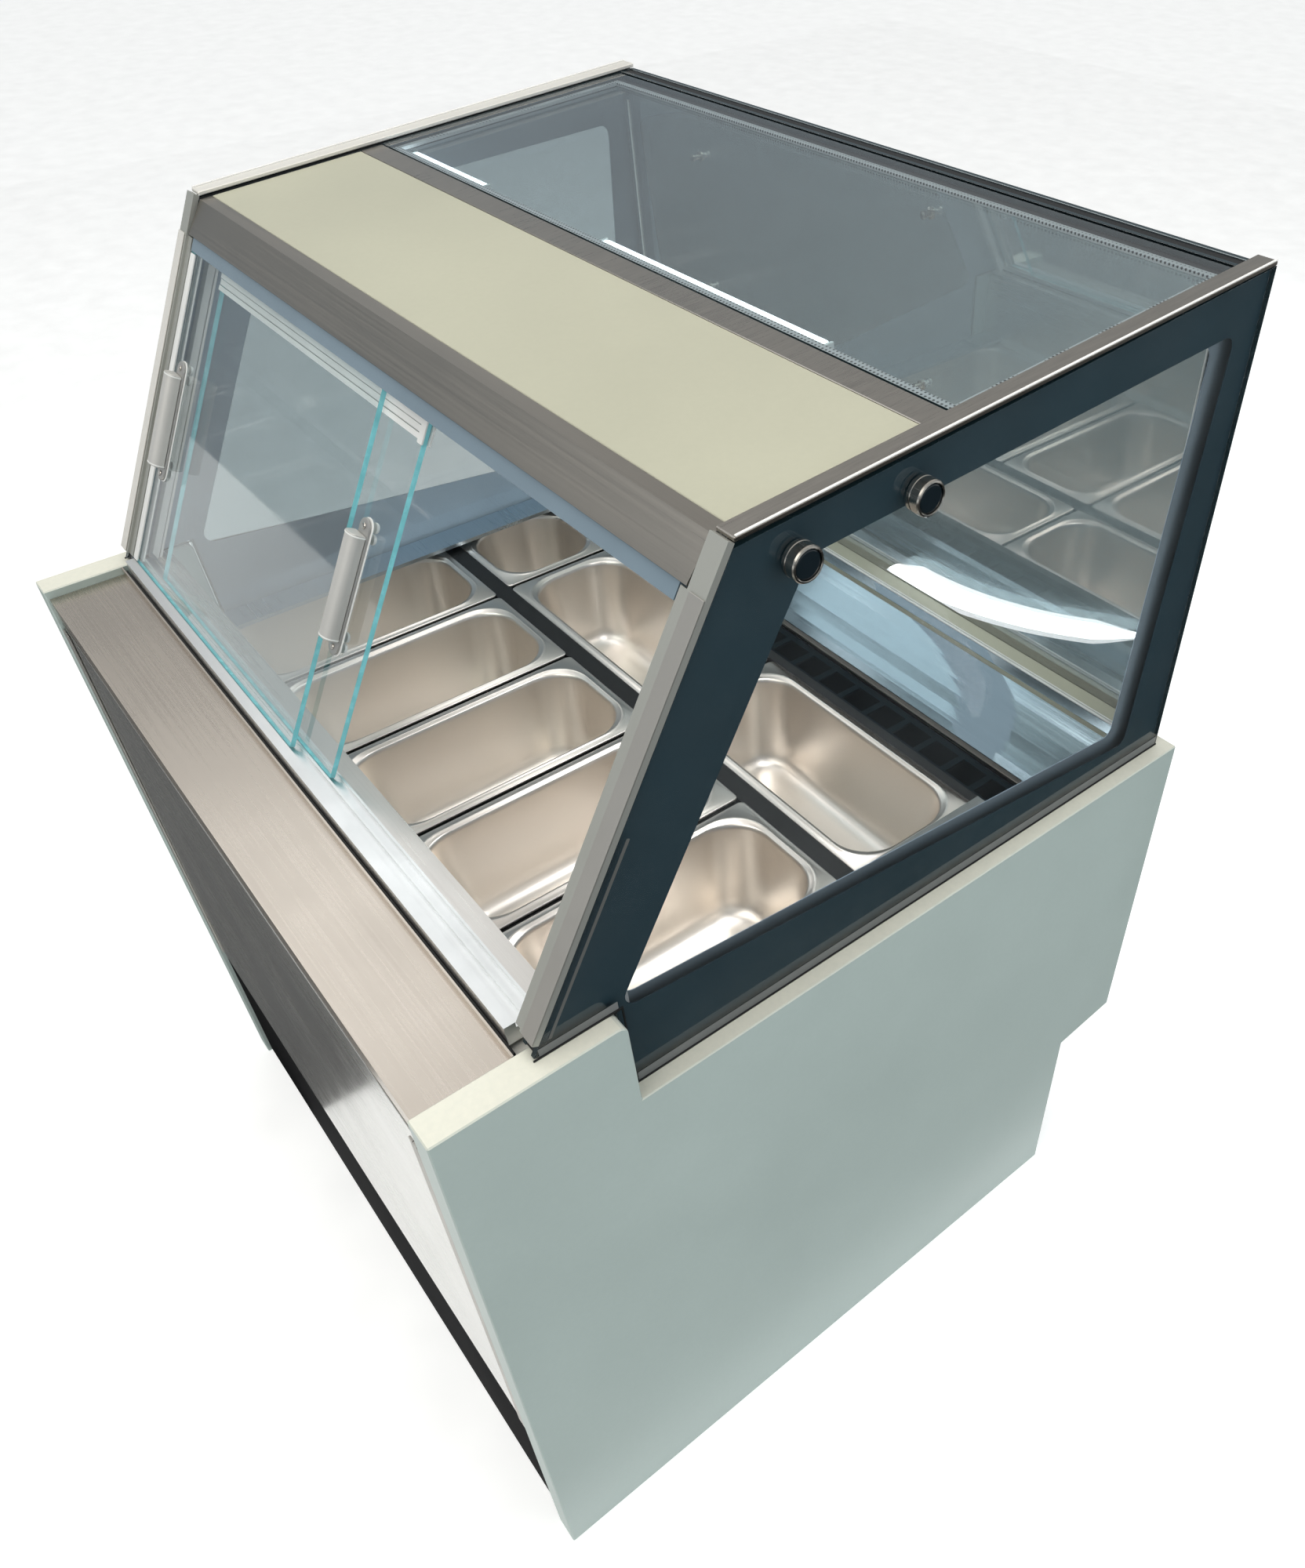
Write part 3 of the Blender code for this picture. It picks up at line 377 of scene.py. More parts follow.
def slab(outer, low, high, place=FLAT, holes=(), bevel=0.0004):
    """A flat plate with holes and softened edges, thick from low to high along the plane's normal."""
    curve = bpy.data.curves.new("plate", "CURVE")
    curve.dimensions = "2D"
    curve.fill_mode = "BOTH"
    curve.extrude = (high - low) / 2 - bevel
    curve.bevel_depth = bevel
    curve.bevel_resolution = 1
    curve.offset = -bevel
    for outline in (outer, *holes):
        spline = curve.splines.new("POLY")
        spline.points.add(len(outline) - 1)
        for point, (a, b) in zip(spline.points, outline):
            point.co = (a, b, 0, 1)
        spline.use_cyclic_u = True
    shape = bpy.data.objects.new("plate", curve)
    bpy.context.scene.collection.objects.link(shape)
    bpy.context.view_layer.update()
    mesh = bpy.data.meshes.new_from_object(shape.evaluated_get(bpy.context.evaluated_depsgraph_get()))
    bpy.data.objects.remove(shape)
    bpy.data.curves.remove(curve)
    bm = bmesh.new()
    bm.from_mesh(mesh)
    bmesh.ops.remove_doubles(bm, verts=bm.verts, dist=1e-6)
    bmesh.ops.recalc_face_normals(bm, faces=bm.faces)
    bm.to_mesh(mesh)
    bm.free()
    mesh.transform(place @ Matrix.Translation((0, 0, (low + high) / 2)))
    return mesh


def rectangle(low_a, high_a, low_b, high_b, radius=0.0, steps=4):
    """A rectangle's corners from its two spans, rounded if a radius is given."""
    corners = [(low_a, low_b), (high_a, low_b), (high_a, high_b), (low_a, high_b)]
    return rounded(corners, radius, steps) if radius else corners


def lathe(profile, place, sides=40):
    """A turned shape: (radius, height) points round the third axis of place."""
    def build(bm):
        rings = []
        for radius, height in profile:
            if radius == 0:
                rings.append([bm.verts.new(place @ Vector((0, 0, height)))])
                continue
            turns = [2 * math.pi * step / sides for step in range(sides)]
            points = [Vector((radius * math.cos(turn), radius * math.sin(turn), height)) for turn in turns]
            rings.append([bm.verts.new(place @ point) for point in points])
        for first, second in zip(rings, rings[1:]):
            for step in range(sides):
                after = (step + 1) % sides
                if len(first) == 1:
                    bm.faces.new((first[0], second[after], second[step]))
                elif len(second) == 1:
                    bm.faces.new((first[step], first[after], second[0]))
                else:
                    bm.faces.new((first[step], first[after], second[after], second[step]))
        bmesh.ops.recalc_face_normals(bm, faces=bm.faces)
    return mesh_of(build)


def joined(meshes):
    """Several meshes as one."""
    bm = bmesh.new()
    for mesh in meshes:
        bm.from_mesh(mesh)
    total = bpy.data.meshes.new("joined")
    bm.to_mesh(total)
    bm.free()
    return total


def piece(name, mesh, looks, body, replaces=(), smooth=35, across=None):
    """A shown piece. With across, faces that point along it take the first look and others the second."""
    mesh.name = name
    for look in looks:
        mesh.materials.append(look)
    if across is not None:
        for face in mesh.polygons:
            face.material_index = 0 if abs(face.normal.dot(across)) > 0.9 else 1
    shown = bpy.data.objects.new(name, mesh)
    bpy.context.scene.collection.objects.link(shown)
    if smooth:
        mesh.shade_smooth()
        mesh.set_sharp_from_angle(angle=math.radians(smooth))
        if smooth < 60:
            flatter = shown.modifiers.new("flat_faces", "WEIGHTED_NORMAL")
            flatter.keep_sharp = True
    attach(shown, body)
    if replaces:
        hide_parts(*replaces)
    return shown


# ---------------------------------------------------------------- CAD nodes that stay
def finish_node(node, look, bevel=0.0, segments=2):
    """Gives a CAD node its look and softens its edges as folded or machined metal has them."""
    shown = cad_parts[node]
    shown.data.materials.clear()
    shown.data.materials.append(look)
    if bevel:
        modifier = shown.modifiers.new("edges", "BEVEL")
        modifier.width = bevel
        modifier.segments = segments
        modifier.limit_method = "ANGLE"
        modifier.angle_limit = math.radians(40)
        modifier.harden_normals = True


NODE_LOOKS = {
    "end_panel_left": (SAGE, 0.0018, 3), "end_panel_right": (SAGE, 0.0018, 3),
    "customer_panel": (SAGE, 0.0005), "customer_kick_grille": (CHASSIS, 0.0003),
    "front_panel": (FRONT_STEEL, 0.0005), "front_plinth": (PLINTH_BLACK, 0.0008),
    "work_shelf": (SHELF_STEEL, 0.0006), "service_flange": (FLANGE_STEEL, 0.0005),
    "end_flange_left": (LIT_LEFT_FLANGE, 0.0005), "end_flange_right": (SHADED_RIGHT_FLANGE, 0.0005),
    "air_deflector": (DEFLECTOR_STEEL, 0.0), "air_return_grille": (GRILLE_COAT_AND_DUCT_SHADE, 0.0003),
    "customer_ledge": (CREAM, 0.0005), "glass_rail": (SILVER, 0.0006),
    "base_frame": (CHASSIS, 0.0010), "insulated_tub": (FOAM, 0.0015), "tub_liner": (SHEET_STEEL, 0.0),
    "pan_frame": (CHASSIS, 0.0005), "edge_profile_left": (PROFILE_GREY, 0.0005),
    "edge_profile_right": (PROFILE_GREY, 0.0005), "top_trim_left": (LIT_LEFT_TRIM, 0.0),
    "top_trim_right": (TRIM_STEEL, 0.0), "canopy_beam": (WHITE, 0.0),
    "canopy_lid": (CREAM, 0.0), "canopy_nose": (NOSE_STEEL, 0.0006),
    "canopy_rear_strip": (TRIM_STEEL, 0.0), "lower_track": (SILVER, 0.0004),
    "upper_track": (TRACK_BLUE, 0.0003), "compressor": (CHASSIS, 0.0), "condenser": (COIL, 0.0),
    "evaporator": (COIL, 0.0), "condenser_shroud": (BLACK, 0.0), "condenser_fan": (BLACK, 0.0),
    "evaporator_fan": (BLACK, 0.0), "evaporator_fan_plate": (SHEET_STEEL, 0.0),
    "control_box": (BLACK, 0.0020, 3), "evaporation_tray": (BLACK, 0.0005),
}


# ---------------------------------------------------------------- pans
PAN_PROFILE = (                       # inset from the rim, height, corner radius
    (-0.0026, -0.0030, 0.006), (-0.0026, -0.0010, 0.006), (-0.0020, -0.0002, 0.0065),
    (-0.0010, 0.0000, 0.007), (0.0042, 0.0000, 0.040), (0.0048, 0.0009, 0.042),
    (0.0058, 0.0014, 0.043), (0.0070, 0.0009, 0.044), (0.0076, -0.0003, 0.045),
    (0.0094, -0.0006, 0.046), (0.0106, -0.0022, 0.047), (0.0114, -0.0070, 0.047),
    (0.0130, -0.0250, 0.046), (0.0225, -0.0940, 0.042), (0.0252, -0.1040, 0.040),
    (0.0300, -0.1122, 0.036), (0.0380, -0.1168, 0.030), (0.0500, -0.1182, 0.020))


def round_rectangle(width, length, radius, steps=9):
    """A rectangle round the origin with round corners."""
    corners = [(-width / 2, -length / 2), (width / 2, -length / 2),
               (width / 2, length / 2), (-width / 2, length / 2)]
    return rounded(corners, radius, steps)


def pan_piece(node, body):
    """A pressed pan: square flange, raised bead round the opening, large corner radii, curved floor."""
    low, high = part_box(node)
    centre = (Vector(low) + Vector(high)) / 2
    width, length = high[0] - low[0], high[1] - low[1]

    def build(bm):
        rings = []
        for inset, height, radius in PAN_PROFILE:
            outline = round_rectangle(width - 2 * inset, length - 2 * inset, radius)
            rings.append([bm.verts.new((centre.x + a, centre.y + b, high[2] + height)) for a, b in outline])
        for first, second in zip(rings, rings[1:]):
            for step in range(len(first)):
                after = (step + 1) % len(first)
                bm.faces.new((first[step], first[after], second[after], second[step]))
        bm.faces.new(rings[-1])
        bmesh.ops.recalc_face_normals(bm, faces=bm.faces)
        if bm.faces[-1].normal.z < 0:
            bmesh.ops.reverse_faces(bm, faces=bm.faces)

    shown = piece(node + "_pressed", mesh_of(build), [PAN_STEEL], body, [node], 60)
    shell = shown.modifiers.new("sheet", "SOLIDIFY")
    shell.thickness = 0.0008
    shell.offset = -1


# ---------------------------------------------------------------- glazing units
END_WINDOW = [(-0.251, 0.8665), (0.391, 0.799), (0.421, 1.227), (-0.044, 1.198)]          # Y and Z
END_INNER_WINDOW = [(-0.246, 0.869), (0.378, 0.811), (0.407, 1.219), (-0.042, 1.197)]
ROOF_UNIT_SPAN, ROOF_UNIT_FACES = (0.2175, 0.5425), (-0.0050, -0.0190)  # back along the roof, out of it


def inset_outline(outline, distance):
    """The outline moved inwards by a distance, edge by edge."""
    area = sum(a[0] * b[1] - b[0] * a[1] for a, b in zip(outline, outline[1:] + outline[:1]))
    sign = 1 if area > 0 else -1
    moved = []
    for index, corner in enumerate(outline):
        before, here = Vector(outline[index - 1][:2]), Vector(corner[:2])
        after = Vector(outline[(index + 1) % len(outline)][:2])
        one, two = (here - before).normalized(), (after - here).normalized()
        left_one, left_two = Vector((-one.y, one.x)) * sign, Vector((-two.y, two.x)) * sign
        spread = (left_one + left_two) / (1 + left_one.dot(left_two))
        moved.append((*(here + spread * distance), *corner[2:]))
    return moved


def unit(name, node, outline, window, faces, place, panes):
    """A double-glazed unit: two panes, a punched spacer, sealant round it and a printed border.

    faces holds the outer and the inner face's positions along the plane's normal. Without a window
    there is no border.
    """
    outer, inner = faces
    step = 1 if outer > inner else -1
    normal = place.to_3x3() @ Vector((0, 0, 1))
    low, high = sorted((outer, outer - step * PANE))
    piece(f"{name}_outer_pane", slab(outline, low, high, place), [panes, DARK_EDGE], CABINET,
          [node], 35, normal)
    low, high = sorted((inner, inner + step * PANE))
    piece(f"{name}_inner_pane", slab(inset_outline(outline, 0.001), low, high, place),
          [panes, DARK_EDGE], CABINET, (), 35, normal)
    gap = sorted((outer - step * (PANE + 0.0003), inner + step * (PANE + 0.0003)))
    piece(f"{name}_spacer", slab(inset_outline(outline, 0.0075), *gap, place,
                                 [inset_outline(outline, 0.0150)], 0.0003),
          [SPACER], CABINET)
    piece(f"{name}_sealant", slab(inset_outline(outline, 0.0015), *gap, place,
                                  [inset_outline(outline, 0.0073)], 0.0003),
          [BLACK_SEAL], CABINET)
    if not window:
        return
    rim = inset_outline(outline, 0.0008)
    back = outer - step * PANE
    low, high = sorted((back + step * 0.0002, back + step * 0.0005))
    piece(f"{name}_printed_border", slab(rim, low, high, place, [rounded(window, 0.012)], 0.0),
          [TEAL_PRINT], CABINET, (), 0)


def end_units():
    """The two end glasses, printed dark outside and light inside round their windows."""
    foot, notch, deck, back = on_slope(0.006, 0.0062), -0.254, DECK_TOP + 0.0004, 0.450
    outline = [foot, (notch, foot[1]), (notch, deck), (back, deck),
               on_roof(ROOF_LENGTH, -0.0045), on_slope(0.006, SLOPE_LENGTH - 0.0045)]
    inner_window = rounded(END_INNER_WINDOW, 0.011)
    for side, sign in (("left", -1), ("right", 1)):
        faces = (sign * GLASS_OUT, sign * GLASS_IN)
        # the left end takes a darker copy of the pane glass, painted shade, and a paler copy of the inner
        # print, painted light
        panes, inside = (SHADED_FAR_GLASS, LIT_LEFT_PRINT) if side == "left" else (END_GLASS, BLUE_PRINT)
        unit(f"end_{side}", f"end_glass_{side}", outline, END_WINDOW, faces, SIDE, panes)
        rim = inset_outline(outline, 0.0020)
        for layer, above, look in (("dark", 0.0001, GREY_PRINT), ("light", -0.0006, inside)):
            start = GLASS_IN + PANE + above
            depths = mirrored(sign, start, start + PRINT)
            piece(f"end_{side}_inner_border_{layer}", slab(rim, *depths, SIDE, [inner_window], 0.0),
                  [look], CABINET, (), 0)


def flat_units():
    """The upright customer glass and the roof glass."""
    low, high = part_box("customer_glass")
    x = high[0]
    outline = rectangle(-x, x, low[2], high[2])
    window = [(-x + 0.012, low[2] + 0.030), (x - 0.012, low[2] + 0.030),
              (x - 0.012, high[2] - 0.016), (-x + 0.012, high[2] - 0.016)]
    unit("customer", "customer_glass", outline, window, (-high[1], -low[1]), FRONT, CUSTOMER_GLASS)
    outline = rectangle(-x, x, *ROOF_UNIT_SPAN)
    unit("roof", "roof_glass", outline, [], ROOF_UNIT_FACES, ROOF, ROOF_GLASS)


# ---------------------------------------------------------------- doors and their handles
HANDLE_LOW, HANDLE_HIGH = 0.128, 0.262                           # up the slope
HANDLE_HALF = 0.0095                  # half the width of the CAD handle's plate
SCREWS_UP = (HANDLE_LOW + 0.0075, HANDLE_HIGH - 0.0075)
CAPS_UP = (HANDLE_LOW + 0.0075, HANDLE_LOW + 0.0185, HANDLE_HIGH - 0.0185, HANDLE_HIGH - 0.0075)
SCREW_HEAD = ((0, 0), (0.0030, 0), (0.0031, 0.0005), (0.0024, 0.0011), (0, 0.0013))
SCREW_CAP = ((0, 0), (0.0048, 0), (0.0050, 0.0006), (0.0050, 0.0020), (0.0042, 0.0030),
             (0.0022, 0.0034), (0, 0.0035))
DOOR_HEAD = 0.3760
DOORS = (                             # side, body, depth in the slope, the pane's foot up the slope
    ("left", LEFT_DOOR, 0.008, 0.0165),
    ("right", RIGHT_DOOR, 0.017, 0.0220))


def door_pieces():
    """Both sliding panes with their handles, strip and rail."""
    for side, body, depth, foot in DOORS:
        low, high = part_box(f"door_{side}_glass")
        pane = slab(rectangle(low[0], high[0], foot, DOOR_HEAD, 0.0015, 2), -depth - PANE / 2,
                    -depth + PANE / 2, SLOPE, (), 0.0005)
        piece(f"door_{side}_pane", pane, [DOOR_GLASS, CYAN_EDGE], body,
              [f"door_{side}_glass"], 35, OUT)
        door_handle(side, body, depth)
    left_door_strip()
    right_door_rail()


def door_handle(side, body, depth):
    """A stadium plate on a white pad, a rounded block grip on it, and two screw caps at each end inside."""
    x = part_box(f"door_{side}_handle")[1][0] - HANDLE_HALF
    outside = PANE / 2 - depth + 0.0004
    pad = rectangle(x - 0.0088, x + 0.0108, HANDLE_LOW - 0.001, HANDLE_HIGH + 0.001, 0.0096, 10)
    piece(f"door_{side}_handle_pad", slab(pad, outside - 0.0003, outside + 0.0009, SLOPE, (), 0.0003),
          [WHITE_SEAL], body)
    plate = rectangle(x - 0.0094, x + 0.0094, HANDLE_LOW, HANDLE_HIGH, 0.0092, 10)
    piece(f"door_{side}_handle_plate", slab(plate, outside + 0.0011, outside + 0.0036, SLOPE, (), 0.0009),
          [HANDLE_PLATE], body, [f"door_{side}_handle"])
    near, far = outside + 0.0038, outside + 0.0172
    section = rounded([(x - 0.0115, near, 0.0012), (x + 0.0092, near, 0.0012), (x + 0.0092, far, 0.0085),
                       (x - 0.0115, far, 0.0085)], 0.002, 8)
    piece(f"door_{side}_handle_grip", slab(section, 0.0150 - HANDLE_HIGH, -HANDLE_LOW - 0.0150, ACROSS_SLOPE,
                                           (), 0.0009), [HANDLE], body)
    ends = [slab(inset_outline(section, -0.0004), -up - 0.0006, -up + 0.0006, ACROSS_SLOPE, (), 0.0002)
            for up in (HANDLE_LOW + 0.0170, HANDLE_HIGH - 0.0170)]
    piece(f"door_{side}_handle_end_bands", joined(ends), [WHITE_SEAL], body)
    inwards = Matrix.Rotation(math.pi, 4, "X")
    caps = [lathe(SCREW_CAP, SLOPE @ Matrix.Translation((x + 0.001, up, -depth - PANE / 2 - 0.0003))
                  @ inwards, 24) for up in CAPS_UP]
    screws = [lathe(SCREW_HEAD, SLOPE @ Matrix.Translation((x, up, outside + 0.0037)), 24)
              for up in SCREWS_UP]
    piece(f"door_{side}_handle_caps", joined(caps), [WHITE_SEAL], body)
    piece(f"door_{side}_handle_screws", joined(screws), [KNOB_STEEL], body)


def left_door_strip():
    """The clip-on edge strip of the outer door."""
    depth = DOORS[0][2]
    strip = rectangle(-0.4512, -0.4395, 0.0185, DOOR_HEAD - 0.007, 0.0008, 2)
    strips = [slab(strip, low, high, SLOPE, (), 0.0004)
              for low, high in ((-depth + PANE / 2 + 0.0002, -depth + 0.0045),
                                (-depth - 0.0043, -depth - PANE / 2 - 0.0002))]
    piece("door_left_edge_strip", joined(strips), [WHITE_SEAL], LEFT_DOOR)


def right_door_rail():
    """The ribbed rail along the inner door's head, with its end cap."""
    low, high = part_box("door_right_glass")
    depth = DOORS[1][2]
    ribs = []
    for base, top, reach in ((0.3505, 0.3555, 0.0042), (0.3562, 0.3620, 0.0036), (0.3627, 0.3704, 0.0042)):
        for sign in (-1, 1):
            first, second = sorted((-depth + sign * (PANE / 2 + 0.0002), -depth + sign * reach))
            ribs.append(slab(rectangle(low[0], high[0] - 0.006, base, top), first, second, SLOPE, (), 0.0003))
    piece("door_right_top_rail", joined(ribs), [WHITE_SEAL], RIGHT_DOOR)
    cap = rectangle(high[0] - 0.0058, high[0] + 0.0030, 0.3475, 0.3704, 0.0015, 3)
    caps = [slab(cap, first, second, SLOPE, (), 0.0006)
            for first, second in ((-depth - 0.0048, -depth - PANE / 2 - 0.0002),
                                  (-depth + PANE / 2 + 0.0002, -depth + 0.0046))]
    piece("door_right_top_cap", joined(caps), [WHITE_SEAL], RIGHT_DOOR)


# ---------------------------------------------------------------- canopy details
KNOB_RING = (                         # radius and height of the turned steel ring
    (0, 0), (0.0128, 0), (0.0137, 0.0006), (0.0138, 0.0035), (0.0133, 0.0040), (0.0133, 0.0046),
    (0.0138, 0.0051), (0.0138, 0.0118), (0.0131, 0.0130), (0.0119, 0.0134), (0.0114, 0.0130),
    (0.0112, 0.0112), (0, 0.0112))
KNOB_CAP = ((0, 0.0114), (0.0110, 0.0114), (0.0110, 0.0119), (0.0104, 0.0124), (0.0090, 0.0127),
            (0.0045, 0.0129), (0, 0.0129))


def canopy_pieces():
    """The four turned knobs on the end glasses and the two lamps under the lid."""
    for side, sign in (("left", -1), ("right", 1)):
        turn = Matrix.Rotation(sign * math.pi / 2, 4, "Y")
        for place_name in ("front", "back"):
            node = f"canopy_knob_{place_name}_{side}"
            low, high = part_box(node)
            centre = (Vector(low) + Vector(high)) / 2
            start = low[0] if sign > 0 else high[0]
            place = Matrix.Translation((start, centre.y, centre.z)) @ turn
            piece(f"{node}_ring", lathe(KNOB_RING, place, 48), [KNOB_STEEL], CABINET,
                  [node], 30)
            piece(f"{node}_cap", lathe(KNOB_CAP, place, 48), [CAP], CABINET, (), 60)
    for side in ("left", "right"):
        low_x, high_x = (corner[0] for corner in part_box(f"canopy_lamp_{side}"))
        body = rectangle(low_x + 0.004, high_x - 0.004, 0.2132, 0.2538, 0.0040, 4)
        piece(f"canopy_lamp_{side}_diffuser", slab(body, -0.0298, -0.0200, ROOF, (), 0.0024), [LAMP],
              CABINET, [f"canopy_lamp_{side}"])
        ends = [slab(rectangle(first, first + 0.0035, 0.2130, 0.2540, 0.0012, 3), -0.0301, -0.0197, ROOF)
                for first in (low_x, high_x - 0.0035)]
        piece(f"canopy_lamp_{side}_caps", joined(ends), [WHITE], CABINET)


# ---------------------------------------------------------------- seals, jambs and small parts
PANEL_POINT, PANEL_UP = Vector((0, -0.4428, 0.4177)), Vector((0, 0.0400, 1)).normalized()
SERVICE_SLANT = plane(PANEL_POINT, X, PANEL_UP)                  # the front panel's leaning face
FOLD_SPANS = ((0.4436, 0.4498), (0.4506, 0.4568), (0.4576, 0.4660))                       # in X
# Y and Z spans of the grey strips that paint the panel tops' reflection on the end glass
REFLECTION_STRIP_SPANS = ((-0.2470, 0.4470, 0.7726, 0.7830), (-0.3240, -0.2520, 0.8766, 0.8850))
PEG_PLACES = ((-0.300, 1.210), (0.100, 1.235), (-0.300, 1.060), (0.100, 1.060))           # X and Z


def edge_trims():
    """Outer faces of the slope profiles, the roof trims' lips coloured as a painted highlight, the front
    panel's folds and the edge tape.
    """
    for side, sign in (("left", -1), ("right", 1)):
        face = rectangle(*mirrored(sign, 0.4658, 0.4822), 0.0195, 0.3840, 0.0006, 2)
        # the left face takes the paler copy of the trim steel: painted light
        face_tone = LIT_LEFT_TRIM if side == "left" else PALE_SILVER
        piece(f"edge_profile_{side}_face", slab(face, 0.0002, 0.0013, SLOPE, (), 0.0004), [face_tone],
              CABINET)
        # the lip's near-white colour is a painted highlight along the trim's edge
        highlight_lip = rectangle(*mirrored(sign, 0.4806, 0.4824), 0.0050, ROOF_LENGTH - 0.001)
        piece(f"top_trim_{side}_lip", slab(highlight_lip, 0.0002, 0.0014, ROOF, (), 0.0004), [TRIM_HIGHLIGHT], CABINET)
        folds = []
        for first, second in FOLD_SPANS:
            fold = rectangle(*mirrored(sign, first, second), -0.1500, 0.4080)
            folds.append(slab(fold, 0.0003, 0.0022, SERVICE_SLANT, (), 0.0005))
        piece(f"front_panel_{side}_folds", joined(folds), [PALE_SILVER], CABINET)
        foot, head, near, far = 0.0250, 0.2050, 0.0118, 0.0148
        tape = [on_slope(near, foot), on_slope(far, foot), on_slope(far, head), on_slope(near, head)]
        depths = mirrored(sign, GLASS_OUT + 0.0001, GLASS_OUT + 0.0004)
        piece(f"end_{side}_edge_tape", slab(tape, *depths, SIDE, (), 0.0001), [TAPE], CABINET)


def jambs():
    """The upright channels that the doors close against, just inside the edge profiles."""
    for side, sign in (("left", -1), ("right", 1)):
        web = rectangle(*mirrored(sign, 0.4605, 0.4485), 0.020, 0.3690)
        edge = rectangle(*mirrored(sign, 0.4515, 0.4470), 0.020, 0.3690)
        channel = slab(web, -0.0300, -0.0222, SLOPE, (), 0.0008)
        highlight_lip = slab(edge, -0.0330, -0.0305, SLOPE, (), 0.0006)
        piece(f"door_jamb_{side}", joined([channel, highlight_lip]), [WHITE_SEAL], CABINET)


def seals():
    """Lines of sealant, gasket and flashing where glass, panels, shelf and ledge meet, and grey strips on the
    end glasses' feet that are a painted reflection of the panels' tops.
    """
    lines = [slab(rectangle(-GLASS_IN, GLASS_IN, -0.3394, -0.3350), 0.8640, 0.8706, FLAT, (), 0.0008),
             slab(rectangle(-GLASS_IN, GLASS_IN, -0.3032, -0.3026), 0.8700, 0.8822, FLAT, (), 0.0001)]
    piece("shelf_seal", joined(lines), [BLACK_SEAL], CABINET)
    for side, sign in (("left", -1), ("right", 1)):
        front, notch, back, shelf, deck = -0.3300, -0.2500, 0.4490, 0.8745, 0.7705
        inner, deck_top, shelf_top = -0.2482, 0.7724, 0.8764
        outline = [(front, shelf), (notch, shelf), (notch, deck), (back, deck),
                   (back, deck_top), (inner, deck_top), (inner, shelf_top), (front, shelf_top)]
        depths = mirrored(sign, GLASS_OUT + 0.0001, GLASS_OUT + 0.0016)
        piece(f"end_{side}_foot_seal", slab(outline, *depths, SIDE, (), 0.0004), [BLACK_SEAL],
              CABINET)
        # grey strips on the glass just above the panel tops: painted reflection of those tops
        depths = mirrored(sign, GLASS_OUT + 0.0001, GLASS_OUT + 0.0005)
        grey = [slab(rectangle(*span), *depths, SIDE, (), 0.0001) for span in REFLECTION_STRIP_SPANS]
        piece(f"end_{side}_painted_reflection_strip", joined(grey), [FOOT_REFLECTION_GREY], CABINET)
        corner = rectangle(*mirrored(sign, 0.4484, 0.4503), 0.4283, 0.4297, 0.0006, 3)
        piece(f"customer_corner_seal_{side}", slab(corner, 0.8050, 1.2450, FLAT, (), 0.0004), [WHITE_SEAL],
              CABINET)
    low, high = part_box("customer_ledge")
    strips = [slab(rectangle(low[0], high[0], low[1] + near, low[1] + far), high[2] + 0.0002,
                   high[2] + 0.0018, FLAT, (), 0.0006)
              for near, far in ((0.0156, 0.0186), (0.0200, 0.0218))]
    piece("ledge_gaskets", joined(strips), [WHITE_SEAL], CABINET)
    flashing = slab(rectangle(low[0], high[0], low[1] + 0.0003, low[1] + 0.0150), high[2] + 0.0002,
                    high[2] + 0.0010, FLAT, (), 0.0003)
    piece("ledge_flashing", flashing, [DEFLECTOR_STEEL], CABINET)


def return_duct():
    """The channel that the air return slots open into, near-black as painted shade for the hollow behind
    them.
    """
    low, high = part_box("air_return_grille")
    middle, top = (low[1] + high[1]) / 2, low[2] - 0.0006
    outer, inner, deep, floor = 0.0220, 0.0205, 0.0500, 0.0485
    outline = [(middle - outer, top), (middle - outer, top - deep), (middle + outer, top - deep),
               (middle + outer, top), (middle + inner, top), (middle + inner, top - floor),
               (middle - inner, top - floor), (middle - inner, top)]
    piece("air_return_duct", slab(outline, low[0] + 0.004, high[0] - 0.004, SIDE, (), 0.0003), [GRILLE_COAT_AND_DUCT_SHADE],
          CABINET)


def pegs():
    """Small turned steel pegs on the inside of the customer glass."""
    made, glass_y = [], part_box("customer_glass")[0][1]
    for x, z in PEG_PLACES:
        place = Matrix.Translation((x, glass_y - 0.0002, z)) @ Matrix.Rotation(math.pi / 2, 4, "X")
        made.append(lathe([(0, 0), (0.0060, 0), (0.0060, 0.0012), (0.0030, 0.0020),
                           (0.0028, 0.0090), (0.0040, 0.0098), (0.0040, 0.0124), (0, 0.0130)], place, 24))
    piece("customer_glass_pegs", joined(made), [KNOB_STEEL], CABINET)


def inlet():
    """A shrouded three-pin inlet behind the kick grille's cut-out."""
    low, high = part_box("mains_inlet")
    middle_x, middle_z = (low[0] + high[0]) / 2, (low[2] + high[2]) / 2

    def inset(across, up, radius):
        return rectangle(low[0] + across, high[0] - across, low[2] + up, high[2] - up, radius)

    shroud = slab(inset(0.008, 0.003, 0.002), -high[1], -low[1], FRONT, [inset(0.012, 0.007, 0.001)], 0.0003)
    flange = slab(inset(0, 0, 0.004), -low[1] - 0.0012, -low[1], FRONT, (), 0.0003)
    piece("mains_inlet_socket", joined([shroud, flange]), [BLACK], CABINET, ["mains_inlet"])
    pins = [slab(rectangle(x - 0.001, x + 0.001, middle_z - 0.002, middle_z + 0.002), -high[1] + 0.0003,
                 -low[1] - 0.0012, FRONT, (), 0.0002)
            for x in (middle_x - 0.007, middle_x, middle_x + 0.007)]
    piece("mains_inlet_pins", joined(pins), [KNOB_STEEL], CABINET)


# ---------------------------------------------------------------- camera, floor and light
VIEW_FROM = (1.0265, -0.4950, 1.6177)
VIEW_RIGHT, VIEW_BACK = Vector((0.64291, 0.76589, -0.00914)), Vector((0.5416, -0.44613, 0.71249))


